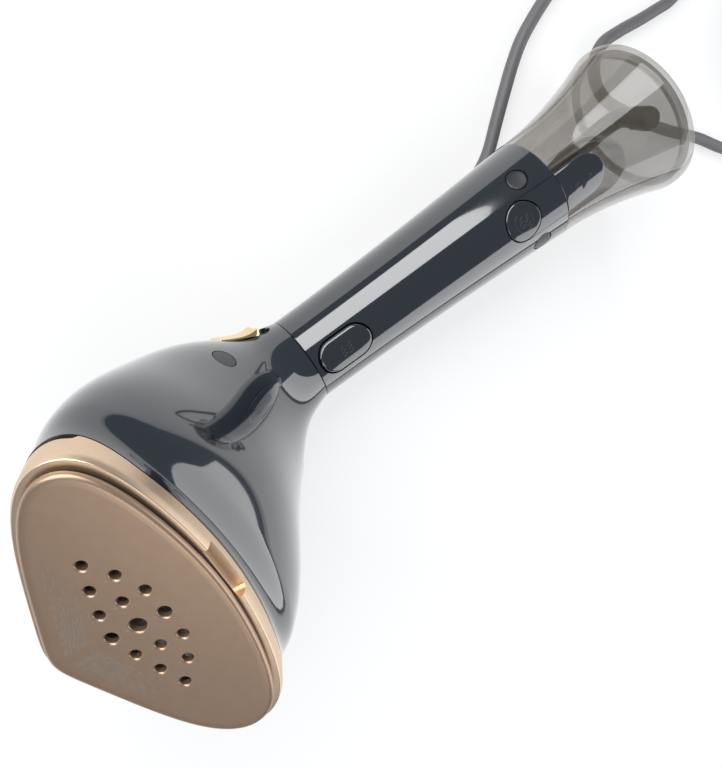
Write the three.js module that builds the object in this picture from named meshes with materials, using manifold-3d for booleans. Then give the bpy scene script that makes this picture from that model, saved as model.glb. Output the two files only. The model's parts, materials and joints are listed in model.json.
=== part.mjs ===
// Hand-held garment steamer lying on its back: soleplate head, round handle,
// flared water tank and a mains lead.
// The steamer is drawn upright in its own axes (x towards the trigger side,
// y to its left, z along the handle towards the head) and then laid down.
// Lengths are in millimetres.
import * as THREE from "three";
import { mergeVertices } from "three/addons/utils/BufferGeometryUtils.js";
import Module from "manifold-3d";

const wasm = await Module();
wasm.setup();

// ---------- driving dimensions ----------
const GAP = 0.3;                    // clearance between pieces that rest on each other
const WALL = 2.4;                   // moulded shell wall

const TANK_LENGTH = 67;
const TANK_RIM_R = 37;
const TANK_RIM_BAND = 5;            // straight band round the tank's end
const TANK_WALL = 2.2;
const TANK_FLARE_POWER = 1.75;
const JOINT_R = 24.5;               // where the tank meets the handle
const SPIGOT_R = 12;
const SPIGOT_LENGTH = 6;
const SPIGOT_BORE_R = 4.2;

const HANDLE_LENGTH = 133.5;
const NECK_R = 19;
const HANDLE_TAPER_POWER = 1.5;
const SEAM_X = -9;                  // plane that splits the handle into two shells

const TRIGGER_LENGTH = 24.5;
const TRIGGER_WIDTH = 14;
const TRIGGER_TRAVEL = 2.5;
const TRIGGER_FROM_NECK = 15.2;
const BUTTON_R = 8.7;
const BUTTON_TRAVEL = 1.5;
const BUTTON_FROM_JOINT = 22.5;
const PANEL_WIDTH = 18.6;
const LATCH_LENGTH = 25;
const LATCH_TRAVEL = 1.3;
const CAP_R = 4.6;                  // covers over the assembly screws
const CAP_ANGLE = 41.5;             // handle covers, degrees round from the front
const CAP_FROM_JOINT = 14.4;
const SCREW_HEAD_R = 3;
const SCREW_R = 1.5;

const PLATE_X = 91.7;               // centre of the soleplate face
const PLATE_FROM_NECK = 102.2;
const PLATE_TILT = 21.7;            // degrees that the face leans back
const PLATE_THICKNESS = 2.6;
const GASKET_THICKNESS = 1;
const HOLE_PITCH_LONG = 9.3;
const HOLE_PITCH_SIDE = 9.95;
const HOLE_R = 1.7;
const BEZEL_DEPTH = 17;             // from the plate's face to the back of the bezel
const BEZEL_LIP = 2;                // how far the bezel stands outside the plate
const BEZEL_DIP = 4.5;              // the bezel is this much shallower at the heel
const NOTCH_WIDTH = 20;

const FOOT_FROM_NECK = 43.5;        // rest feet on the head's back
const FOOT_X = -24;
const FOOT_Y = 18;
const FOOT_R = 5.5;

const SLIDER_LENGTH = 19;
const SLIDER_WIDTH = 8.5;
const SLIDER_TRAVEL = 5;

const CORD_R = 3.2;
const COIL_MEAN_R = 36;
const COIL_COLUMNS = 2;
const COIL_LAYERS = 3;

// ---------- values worked out from them ----------
const TANK_TOP = TANK_LENGTH;
const NECK_Z = TANK_LENGTH + HANDLE_LENGTH;
const TRIGGER_Z = NECK_Z - TRIGGER_FROM_NECK;
const BUTTON_Z = TANK_TOP + BUTTON_FROM_JOINT;
const CAP_Z = TANK_TOP + CAP_FROM_JOINT;
const PLATE_Z = NECK_Z + PLATE_FROM_NECK;
const FOOT_Z = NECK_Z + FOOT_FROM_NECK;
const TILT = THREE.MathUtils.degToRad(PLATE_TILT);
const LYING_TILT = Math.atan((FOOT_X + TANK_RIM_R) / (FOOT_Z - TANK_RIM_BAND));

// ---------- materials ----------
const material = (color, roughness, metalness = 0) =>
  new THREE.MeshStandardMaterial({ color, roughness, metalness });
const blackGloss = material(0x24282e, 0.12);
const blackSatin = material(0x2a2d31, 0.45);
const darkPlastic = material(0x3a3d40, 0.6);
const roseGold = material(0xd9b394, 0.2, 1);
const bronzePlate = material(0x9a7f6a, 0.35, 1);
const smokeTank = material(0xa59e94, 0.08);
smokeTank.transparent = true;
smokeTank.opacity = 0.35;
const rubber = material(0x2c2c2c, 0.8);
const castAlloy = material(0xa9abad, 0.5, 1);
const steel = material(0xb9bcc0, 0.3, 1);
const brass = material(0xc9a55a, 0.3, 1);
const whiteNylon = material(0xe6e4de, 0.5);
const boardGreen = material(0x2f6b45, 0.5);
const cordGrey = material(0x605f5e, 0.7);

// ---------- shape helpers ----------

// Turns a geometry into one closed, outward-facing indexed surface.
function closed(source) {
  let geometry = source.clone();
  for (const name of Object.keys(geometry.attributes)) {
    if (name !== "position") {
      geometry.deleteAttribute(name);
    }
  }
  geometry = mergeVertices(geometry, 1e-4);
  const index = geometry.index.array;
  const kept = [];
  for (let i = 0; i < index.length; i += 3) {
    const [a, b, c] = [index[i], index[i + 1], index[i + 2]];
    if (a !== b && b !== c && c !== a) {
      kept.push(a, b, c);
    }
  }
  if (signedVolume(geometry.attributes.position, kept) < 0) {
    kept.reverse();
  }
  geometry.setIndex(kept);
  return geometry;
}

function signedVolume(position, index) {
  const corners = [new THREE.Vector3(), new THREE.Vector3(), new THREE.Vector3()];
  let total = 0;
  for (let i = 0; i < index.length; i += 3) {
    corners.forEach((corner, k) => corner.fromBufferAttribute(position, index[i + k]));
    total += corners[0].dot(corners[1].cross(corners[2]));
  }
  return total / 6;
}

function toManifold(source) {
  const geometry = closed(source);
  return new wasm.Manifold(new wasm.Mesh({
    numProp: 3,
    vertProperties: new Float32Array(geometry.attributes.position.array),
    triVerts: new Uint32Array(geometry.index.array),
  }));
}

function fromManifold(solid) {
  const mesh = solid.getMesh();
  const geometry = new THREE.BufferGeometry();
  geometry.setAttribute("position", new THREE.BufferAttribute(mesh.vertProperties, 3));
  geometry.setIndex(new THREE.BufferAttribute(mesh.triVerts, 1));
  return geometry;
}

const combine = (how) => (first, ...others) =>
  fromManifold(others.reduce((solid, other) => solid[how](toManifold(other)), toManifold(first)));
const cut = combine("subtract");
const join = combine("add");
const common = combine("intersect");

// Solid of revolution about z from [radius, z] pairs; it closes on itself or on the axis.
function revolve(profile, segments = 36) {
  const points = profile.map(([r, z]) => new THREE.Vector2(r, z));
  const onAxis = profile[0][0] === 0 && profile.at(-1)[0] === 0;
  if (!onAxis) {
    points.push(points[0].clone());
  }
  return new THREE.LatheGeometry(points, segments).rotateX(Math.PI / 2);
}

const ring = (inner, outer, z0, z1, segments = 20) =>
  revolve([[inner, z0], [outer, z0], [outer, z1], [inner, z1]], segments);
const rod = (r, z0, z1, segments = 20) => revolve([[0, z0], [r, z0], [r, z1], [0, z1]], segments);

function box([x0, y0, z0], [x1, y1, z1]) {
  const geometry = new THREE.BoxGeometry(x1 - x0, y1 - y0, z1 - z0);
  return geometry.translate((x0 + x1) / 2, (y0 + y1) / 2, (z0 + z1) / 2);
}

// Points a z-axis solid along a direction and starts it at a place.
function aim(geometry, from, direction) {
  const turn = new THREE.Quaternion().setFromUnitVectors(
    new THREE.Vector3(0, 0, 1), direction.clone().normalize());
  return geometry.applyQuaternion(turn).translate(from.x, from.y, from.z);
}

// Prism along x with a round-ended outline that is longer along z.
function slotPrism(centreZ, length, width, x0, x1) {
  const r = width / 2;
  const reach = length / 2 - r;
  const shape = new THREE.Shape();
  shape.absarc(0, reach, r, 0, Math.PI, false);
  shape.absarc(0, -reach, r, Math.PI, 2 * Math.PI, false);
  const geometry = new THREE.ExtrudeGeometry(
    shape, { depth: x1 - x0, bevelEnabled: false, curveSegments: 5 });
  return geometry.rotateX(Math.PI / 2).rotateZ(Math.PI / 2).translate(x0, 0, centreZ);
}

// Prism along x: square at its top (z1), half round at its bottom (z0).
function tonguePrism(z0, z1, width, x0, x1) {
  const r = width / 2;
  const shape = new THREE.Shape();
  shape.moveTo(r, z1);
  shape.lineTo(-r, z1);
  shape.lineTo(-r, z0 + r);
  shape.absarc(0, z0 + r, r, Math.PI, 2 * Math.PI, false);
  const geometry = new THREE.ExtrudeGeometry(
    shape, { depth: x1 - x0, bevelEnabled: false, curveSegments: 5 });
  return geometry.rotateX(Math.PI / 2).rotateZ(Math.PI / 2).translate(x0, 0, 0);
}

// Disc or cylinder along x.
const rodX = (r, x0, x1, y, z, segments = 24) =>
  rod(r, x0, x1, segments).rotateY(Math.PI / 2).translate(0, y, z);

// Round tube along points; it is closed at both ends.
function tube(points, r, sides, steps) {
  const path = new THREE.CatmullRomCurve3(points, false, "centripetal");
  const section = new THREE.Shape();
  section.absarc(0, 0, r, 0, 2 * Math.PI, false);
  return new THREE.ExtrudeGeometry(section, {
    steps, extrudePath: path, bevelEnabled: false, curveSegments: sides / 2,
  });
}

// Skin through rings of equal point count, capped at both ends.
function loft(rings) {
  const count = rings[0].length;
  const vertices = rings.flat();
  const index = [];
  for (let row = 0; row + 1 < rings.length; row += 1) {
    for (let k = 0; k < count; k += 1) {
      const a = row * count + k;
      const b = row * count + ((k + 1) % count);
      index.push(a, b, b + count, a, b + count, a + count);
    }
  }
  for (const row of [0, rings.length - 1]) {
    const middle = new THREE.Vector3();
    rings[row].forEach((point) => middle.addScaledVector(point, 1 / count));
    vertices.push(middle);
    for (let k = 0; k < count; k += 1) {
      const a = row * count + k;
      const b = row * count + ((k + 1) % count);
      index.push(...(row === 0 ? [vertices.length - 1, b, a] : [vertices.length - 1, a, b]));
    }
  }
  const geometry = new THREE.BufferGeometry().setFromPoints(vertices);
  geometry.setIndex(index);
  return geometry;
}

// ---------- scene graph ----------
const garmentSteamer = new THREE.Group();
const upright = new THREE.Group();          // the steamer in its own axes
const plateFrame = new THREE.Group();       // x from tip to heel of the plate, z out of its face
plateFrame.position.set(PLATE_X, 0, PLATE_Z);
plateFrame.rotation.y = Math.PI / 2 - TILT;
upright.add(plateFrame);
garmentSteamer.add(upright);

function place(name, geometry, look, parent = upright) {
  const mesh = new THREE.Mesh(closed(geometry), look);
  mesh.name = name;
  parent.add(mesh);
  return mesh;
}

// ---------- outlines ----------

// Radius of the tank's outside at height z.
function tankRadius(z) {
  const share = THREE.MathUtils.clamp((z - TANK_RIM_BAND) / (TANK_TOP - TANK_RIM_BAND), 0, 1);
  return JOINT_R + (TANK_RIM_R - JOINT_R) * (1 - share) ** TANK_FLARE_POWER;
}

// Radius of the handle's outside at height z.
function handleRadius(z) {
  const share = THREE.MathUtils.clamp((z - TANK_TOP) / HANDLE_LENGTH, 0, 1);
  return NECK_R + (JOINT_R - NECK_R) * (1 - share) ** HANDLE_TAPER_POWER;
}

// [radius, z] pairs of a curved side, from z0 to z1.
function side(radius, z0, z1, steps, inset = 0) {
  return Array.from({ length: steps + 1 }, (_, k) => {
    const z = z0 + ((z1 - z0) * k) / steps;
    return [radius(z) - inset, z];
  });
}

// Sides of the soleplate as [direction in degrees from the heel, distance from the middle].
// The corners between them are softened; the two tip edges meet more sharply.
const HEEL_SIDES = [[0, 33.7], [17.5, 35.8], [-17.5, 35.8], [95.2, 57.4], [-95.2, 57.4]];
const TIP_SIDES = [[155.3, 29.9], [-155.3, 29.9]];
const HEEL_SHARPNESS = 5.44;
const TIP_SHARPNESS = 14;

// How near a direction comes to a set of sides: 1 on the outline, softened at the corners.
function sideSum(sides, sharpness, angle, offset) {
  return sides.reduce((sum, [degrees, distance]) => {
    const lean = Math.max(0, Math.cos(angle - THREE.MathUtils.degToRad(degrees)));
    return sum + (lean / (distance + offset)) ** sharpness;
  }, 0);
}

// Point of the plate's outline grown by offset, in the plate's own x and y.
function platePoint(angle, offset) {
  const heel = sideSum(HEEL_SIDES, HEEL_SHARPNESS, angle, offset);
  const tip = sideSum(TIP_SIDES, TIP_SHARPNESS, angle, offset) ** (HEEL_SHARPNESS / TIP_SHARPNESS);
  const r = (heel + tip) ** (-1 / HEEL_SHARPNESS);
  return new THREE.Vector2(r * Math.cos(angle), r * Math.sin(angle));
}
const plateReach = (degrees, offset) =>
  platePoint(THREE.MathUtils.degToRad(degrees), offset).length();

// Directions round the plate, closer together at its two side corners and its tip.
const PLATE_STEPS = 36;
const plateAngles = Array.from({ length: PLATE_STEPS }, (_, k) => (k / PLATE_STEPS) * 2 * Math.PI);

// Ring of points parallel to the plate's face; depth is measured back from the face.
// It comes forward at the heel by dip.
const heelShare = (angle) => THREE.MathUtils.smoothstep(Math.cos(angle), 0.15, 0.6);
const plateRing = (offset, depth, dip = 0) => plateAngles.map((angle) => {
  const point = platePoint(angle, offset);
  return new THREE.Vector3(point.x, point.y, dip * heelShare(angle) - depth);
});

// Skin of plate-shaped rings given as [offset, depth] or [offset, depth, dip].
const plateLoft = (levels) => loft(levels.map((level) => plateRing(...level)));

// ---------- head ----------

// Cross sections of the head from the neck to the back of the bezel:
// [share of the way, reach to the front, reach to the back, half width].
const HEAD_SECTIONS = [
  [0, 19, 19, 19],
  [0.125, 22, 24, 24.5],
  [0.25, 27, 31, 35],
  [0.5, 37, 40, 49],
  [0.75, 39.5, 40, 57],
  [1, plateReach(0, BEZEL_LIP), plateReach(180, BEZEL_LIP), plateReach(90, BEZEL_LIP)],
];
const headCurves = [1, 2, 3].map((column) => new THREE.CatmullRomCurve3(
  HEAD_SECTIONS.map((row) => new THREE.Vector3(row[0], row[column], 0)), false, "centripetal"));

function headSize(column, share) {
  const last = HEAD_SECTIONS.length - 1;
  const clamped = THREE.MathUtils.clamp(share, 0, 1);
  const k = Math.min(HEAD_SECTIONS.findLastIndex((row) => row[0] <= clamped), last - 1);
  const local = (clamped - HEAD_SECTIONS[k][0]) / (HEAD_SECTIONS[k + 1][0] - HEAD_SECTIONS[k][0]);
  return headCurves[column].getPoint((k + local) / last).y;
}

// Middle line of the head: it leaves the neck upwards and reaches the plate square on.
const plateNormal = new THREE.Vector3(Math.cos(TILT), 0, Math.sin(TILT));
const bezelBack = new THREE.Vector3(PLATE_X, 0, PLATE_Z).addScaledVector(plateNormal, -BEZEL_DEPTH);
const headLine = new THREE.CubicBezierCurve3(
  new THREE.Vector3(0, 0, NECK_Z),
  new THREE.Vector3(0, 0, NECK_Z + 45),
  bezelBack.clone().addScaledVector(plateNormal, -35),
  bezelBack,
);

// Ring of points round the head at a share of the way, inset from its outside.
function headRing(share, inset, slide = 0) {
  const centre = headLine.getPoint(share);
  const normal = headLine.getTangent(share);
  centre.addScaledVector(normal, slide);
  const forward = new THREE.Vector3(normal.z, 0, -normal.x);
  const [front, back, half] = [0, 1, 2].map((column) => headSize(column, share) - inset);
  const blend = THREE.MathUtils.smoothstep(share, 0.15, 0.85);
  const dip = BEZEL_DIP * THREE.MathUtils.smoothstep(share, 0.6, 1);
  return plateAngles.map((angle) => {
    const [c, s] = [Math.cos(angle), Math.sin(angle)];
    const reach = c > 0 ? front : back;
    const flat = platePoint(angle, 0);
    const x = THREE.MathUtils.lerp(c, flat.x / plateReach(c > 0 ? 0 : 180, 0), blend);
    const y = THREE.MathUtils.lerp(s, flat.y / plateReach(90, 0), blend);
    return centre.clone().addScaledVector(forward, reach * x).addScaledVector(normal, dip * heelShare(angle))
      .add(new THREE.Vector3(0, half * y, 0));
  });
}

const HEAD_RINGS = 8;
const headShares = Array.from({ length: HEAD_RINGS + 1 }, (_, k) => k / HEAD_RINGS);

function headSolid(inset, overrun = 0) {
  const rings = headShares.map((share) => headRing(share, inset));
  if (overrun > 0) {
    rings.unshift(headRing(0, inset, -overrun));
    rings.push(headRing(1, inset, overrun));
  }
  return loft(rings);
}

// Frame on the head's outside: along it towards the plate, round it, and outwards.
function headSpot(share, degrees) {
  const k = (degrees / 360) * PLATE_STEPS;
  const at = (s, i) => {
    const ringPoints = headRing(s, 0);
    const low = Math.floor(i);
    const wrap = (n) => (n + PLATE_STEPS) % PLATE_STEPS;
    return ringPoints[wrap(low)].clone().lerp(ringPoints[wrap(low + 1)], i - low);
  };
  const point = at(share, k);
  const along = at(share + 0.04, k).sub(at(share - 0.04, k)).normalize();
  const round = at(share, k + 1).sub(at(share, k - 1));
  const out = new THREE.Vector3().crossVectors(round, along).normalize();
  const radial = point.clone().sub(headLine.getPoint(share));
  if (out.dot(radial) < 0) {
    out.negate();
  }
  round.crossVectors(out, along).normalize();
  return { point, along, round, out };
}

// Moves a solid drawn at the origin (x along, y round, z out) onto a spot.
function onSpot(geometry, spot) {
  const basis = new THREE.Matrix4().makeBasis(spot.along, spot.round, spot.out);
  return geometry.applyMatrix4(basis.setPosition(spot.point));
}

// ---------- water tank ----------
const shoulder = TANK_TOP - GAP;
const spigotTop = TANK_TOP + SPIGOT_LENGTH;
const pocketFloor = JOINT_R - 5.7;
const pocketWidth = PANEL_WIDTH + 5;
const pocketEnd = TANK_TOP - LATCH_LENGTH - 8;
const padBottom = pocketFloor + LATCH_TRAVEL + 0.7;
const hookFloor = pocketFloor + LATCH_TRAVEL + GAP;
const hookTop = JOINT_R - WALL - 0.9;
const FILL_X = -18.2;
const FILL_HEAD_R = 5;
const FILL_R = 3.5;
const VALVE_R = 3.9;

function waterTank() {
  const outside = revolve([
    [0, 0], [TANK_RIM_R - 1.2, 0], [TANK_RIM_R, 1.2],
    ...side(tankRadius, TANK_RIM_BAND, shoulder, 7),
    [SPIGOT_R, shoulder], [SPIGOT_R, spigotTop], [0, spigotTop],
  ]);
  const ceiling = shoulder - TANK_WALL;
  const inside = revolve([
    [0, -1], [TANK_RIM_R - TANK_WALL, -1],
    ...side(tankRadius, TANK_RIM_BAND, ceiling, 6, TANK_WALL),
    [SPIGOT_R - TANK_WALL, ceiling], [SPIGOT_R - TANK_WALL, spigotTop - TANK_WALL],
    [0, spigotTop - TANK_WALL],
  ]);
  const pocketWall = tonguePrism(pocketEnd - TANK_WALL, TANK_TOP + 1,
    pocketWidth + 2 * TANK_WALL, pocketFloor - TANK_WALL, TANK_RIM_R + 1);
  const pocket = tonguePrism(pocketEnd, TANK_TOP + 1, pocketWidth, pocketFloor, TANK_RIM_R + 1);
  const fillHole = revolve([
    [0, shoulder - 6], [FILL_R + GAP, shoulder - 6], [FILL_R + GAP, shoulder - 1.3],
    [FILL_HEAD_R + GAP, shoulder - 1.3], [FILL_HEAD_R + GAP, TANK_TOP + 1], [0, TANK_TOP + 1],
  ], 20).translate(FILL_X, 0, 0);
  return cut(outside, cut(inside, pocketWall), rod(SPIGOT_BORE_R, ceiling, spigotTop + 1), pocket,
    fillHole);
}

function tankEndCap() {
  const r = TANK_RIM_R - TANK_WALL - GAP;
  return revolve([
    [0, 1.6], [r - 4.5, 1.6], [r - 3.5, 0.8], [r, 0.8], [r, 4.4], [r - 3.5, 4.4],
    [r - 4.5, 3.8], [0, 3.8],
  ]);
}

const tankFillPlug = () => revolve([
  [0, shoulder - 5], [FILL_R, shoulder - 5], [FILL_R, shoulder - 1],
  [FILL_HEAD_R, shoulder - 1], [FILL_HEAD_R, shoulder - 0.1], [0, shoulder - 0.1],
], 20).translate(FILL_X, 0, 0);

const valveFoot = TANK_TOP - 7;
const tankValve = () => revolve([
  [0, valveFoot], [VALVE_R, valveFoot], [VALVE_R, spigotTop - TANK_WALL - 2.5],
  [6.5, spigotTop - TANK_WALL - 2.5], [6.5, spigotTop - TANK_WALL - GAP],
  [VALVE_R, spigotTop - TANK_WALL - GAP], [VALVE_R, spigotTop], [0, spigotTop],
], 24);

const INTAKE_R = 4.5;
const intakeEnd = new THREE.Vector3(14, 5.6, 11.6);
const intakeLean = new THREE.Vector3(0.99, -0.12, -0.06).normalize();
const intakeTube = () => tube([
  new THREE.Vector3(0, 0, valveFoot - GAP),
  new THREE.Vector3(0, 0.1, 54),
  new THREE.Vector3(-0.4, 2, 43),
  new THREE.Vector3(0, 3.3, 26),
  new THREE.Vector3(2, 4.9, 17.6),
  new THREE.Vector3(7.2, 6.2, 12.4),
  intakeEnd,
], INTAKE_R, 12, 9);
const intakeFilter = () => aim(
  revolve([[0, 0.6], [5.2, 0.6], [5.6, 1.2], [5.6, 11], [4.6, 12], [0, 12]], 24), intakeEnd, intakeLean);

function latchPad() {
  const plan = tonguePrism(TANK_TOP - LATCH_LENGTH, shoulder, PANEL_WIDTH, padBottom, TANK_RIM_R);
  const pad = common(plan, rod(JOINT_R - 0.1, 0, TANK_TOP, 72));
  const hook = box([hookFloor, -3.5, shoulder - 6], [hookTop, 3.5, TANK_TOP + 5]);
  const nose = box([hookTop - 3, -3.5, TANK_TOP + 3.4], [hookTop, 3.5, TANK_TOP + 5]);
  return join(pad, hook, nose);
}

const LATCH_SPRING_Z = TANK_TOP - 17;
const latchSpring = () =>
  ring(2, 3.2, pocketFloor + GAP, padBottom - GAP, 20).rotateY(Math.PI / 2)
    .translate(0, 0, LATCH_SPRING_Z);

place("water_tank", waterTank(), smokeTank);
place("tank_end_cap", tankEndCap(), smokeTank);
place("tank_fill_plug", tankFillPlug(), rubber);
place("tank_valve", tankValve(), darkPlastic);
place("intake_tube", intakeTube(), rubber);
place("intake_filter", intakeFilter(), darkPlastic);
place("latch_pad", latchPad(), blackSatin);
place("latch_spring", latchSpring(), steel);

// ---------- handle ----------
const handleTop = NECK_Z - GAP;
const insideRadius = (z) => handleRadius(z) - WALL;

const handleTube = revolve([
  ...side(handleRadius, TANK_TOP, handleTop, 9),
  ...side(handleRadius, TANK_TOP, handleTop, 9, WALL).reverse(),
]);
const handleEnvelope = (outset) => revolve([
  [0, TANK_TOP], ...side(handleRadius, TANK_TOP, handleTop, 9, -outset), [0, handleTop],
]);
const FAR = 80;

// Direction and starting point of an assembly screw through the handle's front.
function handleScrewLine(sign) {
  const angle = THREE.MathUtils.degToRad(CAP_ANGLE);
  return new THREE.Vector3(Math.cos(angle), sign * Math.sin(angle), 0);
}
const screwOrigin = new THREE.Vector3(0, 0, CAP_Z);
const alongScrew = (geometry, sign) => aim(geometry, screwOrigin, handleScrewLine(sign));
const capFloor = handleRadius(CAP_Z) - WALL;

const BOARD_X = 6.5;
const BOARD_THICKNESS = 1.6;
const buttonFlangeX = handleRadius(BUTTON_Z) - 7.6;
const triggerFlangeX = handleRadius(TRIGGER_Z) - 8;
const FLANGE = 1.6;
const BUTTON_WELL_R = BUTTON_R + 0.5;

// Strain relief line: from the handle's back wall down towards the table and the tank.
const reliefTip = new THREE.Vector3(-JOINT_R - 3.3, 3, TANK_TOP + 21);
const reliefDirection = new THREE.Vector3(-0.29, 0.33, -0.9).normalize();
const RELIEF_LENGTH = 34;
const RELIEF_ROOT_R = 5;
const RELIEF_TIP_R = 3.9;
const reliefRoot = reliefTip.clone().addScaledVector(reliefDirection, -RELIEF_LENGTH);
const reliefCone = (grow) => aim(revolve([
  [0, -grow], [RELIEF_ROOT_R + grow, -grow], [RELIEF_TIP_R + grow, RELIEF_LENGTH],
  [0, RELIEF_LENGTH],
], 24), reliefRoot, reliefDirection);

function handleFrontShell() {
  return cut(handleTube,
    box([-FAR, -FAR, 0], [SEAM_X + GAP / 2, FAR, 2 * NECK_Z]),
    slotPrism(TRIGGER_Z, TRIGGER_LENGTH + 1, TRIGGER_WIDTH + 1, 0, FAR),
    rodX(BUTTON_WELL_R, 0, FAR, 0, BUTTON_Z),
    box([0, -PANEL_WIDTH / 2 - GAP, TANK_TOP - 1], [FAR, PANEL_WIDTH / 2 + GAP, BUTTON_Z]),
    alongScrew(rod(CAP_R + GAP, 0, FAR), 1),
    alongScrew(rod(CAP_R + GAP, 0, FAR), -1));
}

const handleRearShell = () => cut(handleTube,
  box([SEAM_X - GAP / 2, -FAR, 0], [FAR, FAR, 2 * NECK_Z]), reliefCone(GAP));

const insertPanel = () => cut(
  common(handleTube,
    box([0, -PANEL_WIDTH / 2, TANK_TOP - 1], [FAR, PANEL_WIDTH / 2, BUTTON_Z - GAP])),
  rodX(BUTTON_WELL_R, 0, FAR, 0, BUTTON_Z));

function steamTrigger() {
  const key = common(
    slotPrism(TRIGGER_Z, TRIGGER_LENGTH, TRIGGER_WIDTH, triggerFlangeX, FAR), handleEnvelope(0.9));
  return join(key, slotPrism(TRIGGER_Z, TRIGGER_LENGTH + 3.5, TRIGGER_WIDTH + 3,
    triggerFlangeX, triggerFlangeX + FLANGE));
}

const switchTop = triggerFlangeX - TRIGGER_TRAVEL - GAP;
const SWITCH_HEIGHT = 6;
const bracketX = switchTop - SWITCH_HEIGHT - GAP;
const triggerSwitch = () => box(
  [switchTop - SWITCH_HEIGHT, -3.2, TRIGGER_Z - 10], [switchTop, 3.2, TRIGGER_Z + 2]);
const switchBracket = () => box(
  [bracketX - 1.4, -14, TRIGGER_Z - 14], [bracketX, 14, TRIGGER_Z + 11]);
const springX = (r, x0, x1, z) => ring(r - 0.7, r, x0, x1, 20).rotateY(Math.PI / 2)
  .translate(0, 0, z);

const buttonTop = handleRadius(BUTTON_Z) + 0.4;
const modeButton = () => join(
  rodX(BUTTON_R, buttonFlangeX, buttonTop, 0, BUTTON_Z),
  rodX(BUTTON_R + 1.3, buttonFlangeX, buttonFlangeX + FLANGE, 0, BUTTON_Z));
const boardTop = BOARD_X + BOARD_THICKNESS;
const buttonSwitchTop = buttonFlangeX - BUTTON_TRAVEL - GAP;
const buttonSwitch = () => box(
  [boardTop + GAP, -3, BUTTON_Z - 3.5], [buttonSwitchTop, 3, BUTTON_Z + 2.5]);
const controlBoard = () => box([BOARD_X, -13, CAP_Z + 4.6], [boardTop, 13, CAP_Z + 46]);

const PUMP_X = -2;
const PUMP_R = 10.5;
const PUMP_Z = NECK_Z - 70.5;
const PUMP_BODY = 30;
const PUMP_SPOUT = 4;
const pumpTop = PUMP_Z + 2 * PUMP_SPOUT + PUMP_BODY;
const waterPump = () => revolve([
  [0, PUMP_Z], [3, PUMP_Z], [3, PUMP_Z + PUMP_SPOUT], [PUMP_R - 1, PUMP_Z + PUMP_SPOUT],
  [PUMP_R, PUMP_Z + PUMP_SPOUT + 1], [PUMP_R, pumpTop - PUMP_SPOUT - 1],
  [PUMP_R - 1, pumpTop - PUMP_SPOUT], [3, pumpTop - PUMP_SPOUT], [3, pumpTop], [0, pumpTop],
], 24).translate(PUMP_X, 0, 0);
const pumpBracket = () =>
  ring(PUMP_R + GAP, PUMP_R + 2.6, PUMP_Z + 15, PUMP_Z + 21, 24).translate(PUMP_X, 0, 0);

const socketTop = spigotTop + 4.8;
const socketFloor = socketTop - 2.2;
const SOCKET_BORE_R = 3;
function tankSocket() {
  const outer = insideRadius(socketTop) - GAP;
  const cup = revolve([
    [SOCKET_BORE_R, socketFloor], [SPIGOT_R + GAP, socketFloor], [SPIGOT_R + GAP, TANK_TOP + GAP],
    [outer, TANK_TOP + GAP], [outer, socketTop], [SOCKET_BORE_R, socketTop],
  ]);
  const hookWay = box([hookTop - 3 - LATCH_TRAVEL - 0.5, -5, 0], [FAR, 5, socketFloor]);
  return cut(cup, hookWay);
}
const inletSeal = () => ring(4.5, SPIGOT_R - 0.5, spigotTop + GAP, socketFloor - GAP, 24);

const HOSE_R = 2.6;
const inletHose = () => tube([
  new THREE.Vector3(0, 0, socketTop + GAP),
  new THREE.Vector3(-1, 0, socketTop + 8),
  new THREE.Vector3(-2.5, 0, socketTop + 24),
  new THREE.Vector3(PUMP_X, 0, PUMP_Z - 8),
  new THREE.Vector3(PUMP_X, 0, PUMP_Z - GAP),
], HOSE_R, 8, 6);

const handleScrew = (sign) => alongScrew(revolve([
  [0, capFloor - 14], [SCREW_R, capFloor - 14], [SCREW_R, capFloor - 2.2],
  [SCREW_HEAD_R, capFloor - 2.2], [SCREW_HEAD_R, capFloor - GAP], [0, capFloor - GAP],
], 16), sign);
const handleScrewCap = (sign) => common(
  alongScrew(rod(CAP_R, capFloor + 0.1, FAR / 2), sign), handleEnvelope(0));

place("handle_front_shell", handleFrontShell(), blackGloss);
place("handle_rear_shell", handleRearShell(), blackGloss);
place("insert_panel", insertPanel(), blackGloss);
place("steam_trigger", steamTrigger(), blackSatin);
place("trigger_spring", springX(3, bracketX + GAP, triggerFlangeX - GAP, TRIGGER_Z + 7), steel);
place("trigger_switch", triggerSwitch(), darkPlastic);
place("switch_bracket", switchBracket(), whiteNylon);
place("mode_button", modeButton(), blackSatin);
place("button_spring", springX(2.2, boardTop + GAP, buttonFlangeX - GAP, BUTTON_Z + 6), steel);
place("button_switch", buttonSwitch(), darkPlastic);
place("control_board", controlBoard(), boardGreen);
place("water_pump", waterPump(), whiteNylon);
place("pump_bracket", pumpBracket(), darkPlastic);
place("tank_socket", tankSocket(), darkPlastic);
place("inlet_seal", inletSeal(), rubber);
place("inlet_hose", inletHose(), whiteNylon);
for (const [word, sign] of [["left", 1], ["right", -1]]) {
  place(`handle_screw_${word}`, handleScrew(sign), steel);
  place(`handle_screw_cap_${word}`, handleScrewCap(sign), blackGloss);
}

// ---------- head shell and what is on it ----------
const COVER_LENGTH = 60;
const COVER_WIDTH = 48;
const COVER_Z = FOOT_Z - 2;
const HEAD_CAP_SHARE = 0.3;
const HEAD_CAP_ANGLE = 52;
const SLIDER_SHARE = 0.14;
const SLIDER_ANGLE = 87;

const headCapSpots = [HEAD_CAP_ANGLE, 360 - HEAD_CAP_ANGLE].map(
  (degrees) => headSpot(HEAD_CAP_SHARE, degrees));
const sliderSpot = headSpot(SLIDER_SHARE, SLIDER_ANGLE);
const headSkin = cut(headSolid(0), headSolid(WALL, 3));
const coverPlan = (grow) => slotPrism(COVER_Z, COVER_LENGTH + 2 * grow, COVER_WIDTH + 2 * grow, -FAR, 0);

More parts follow.
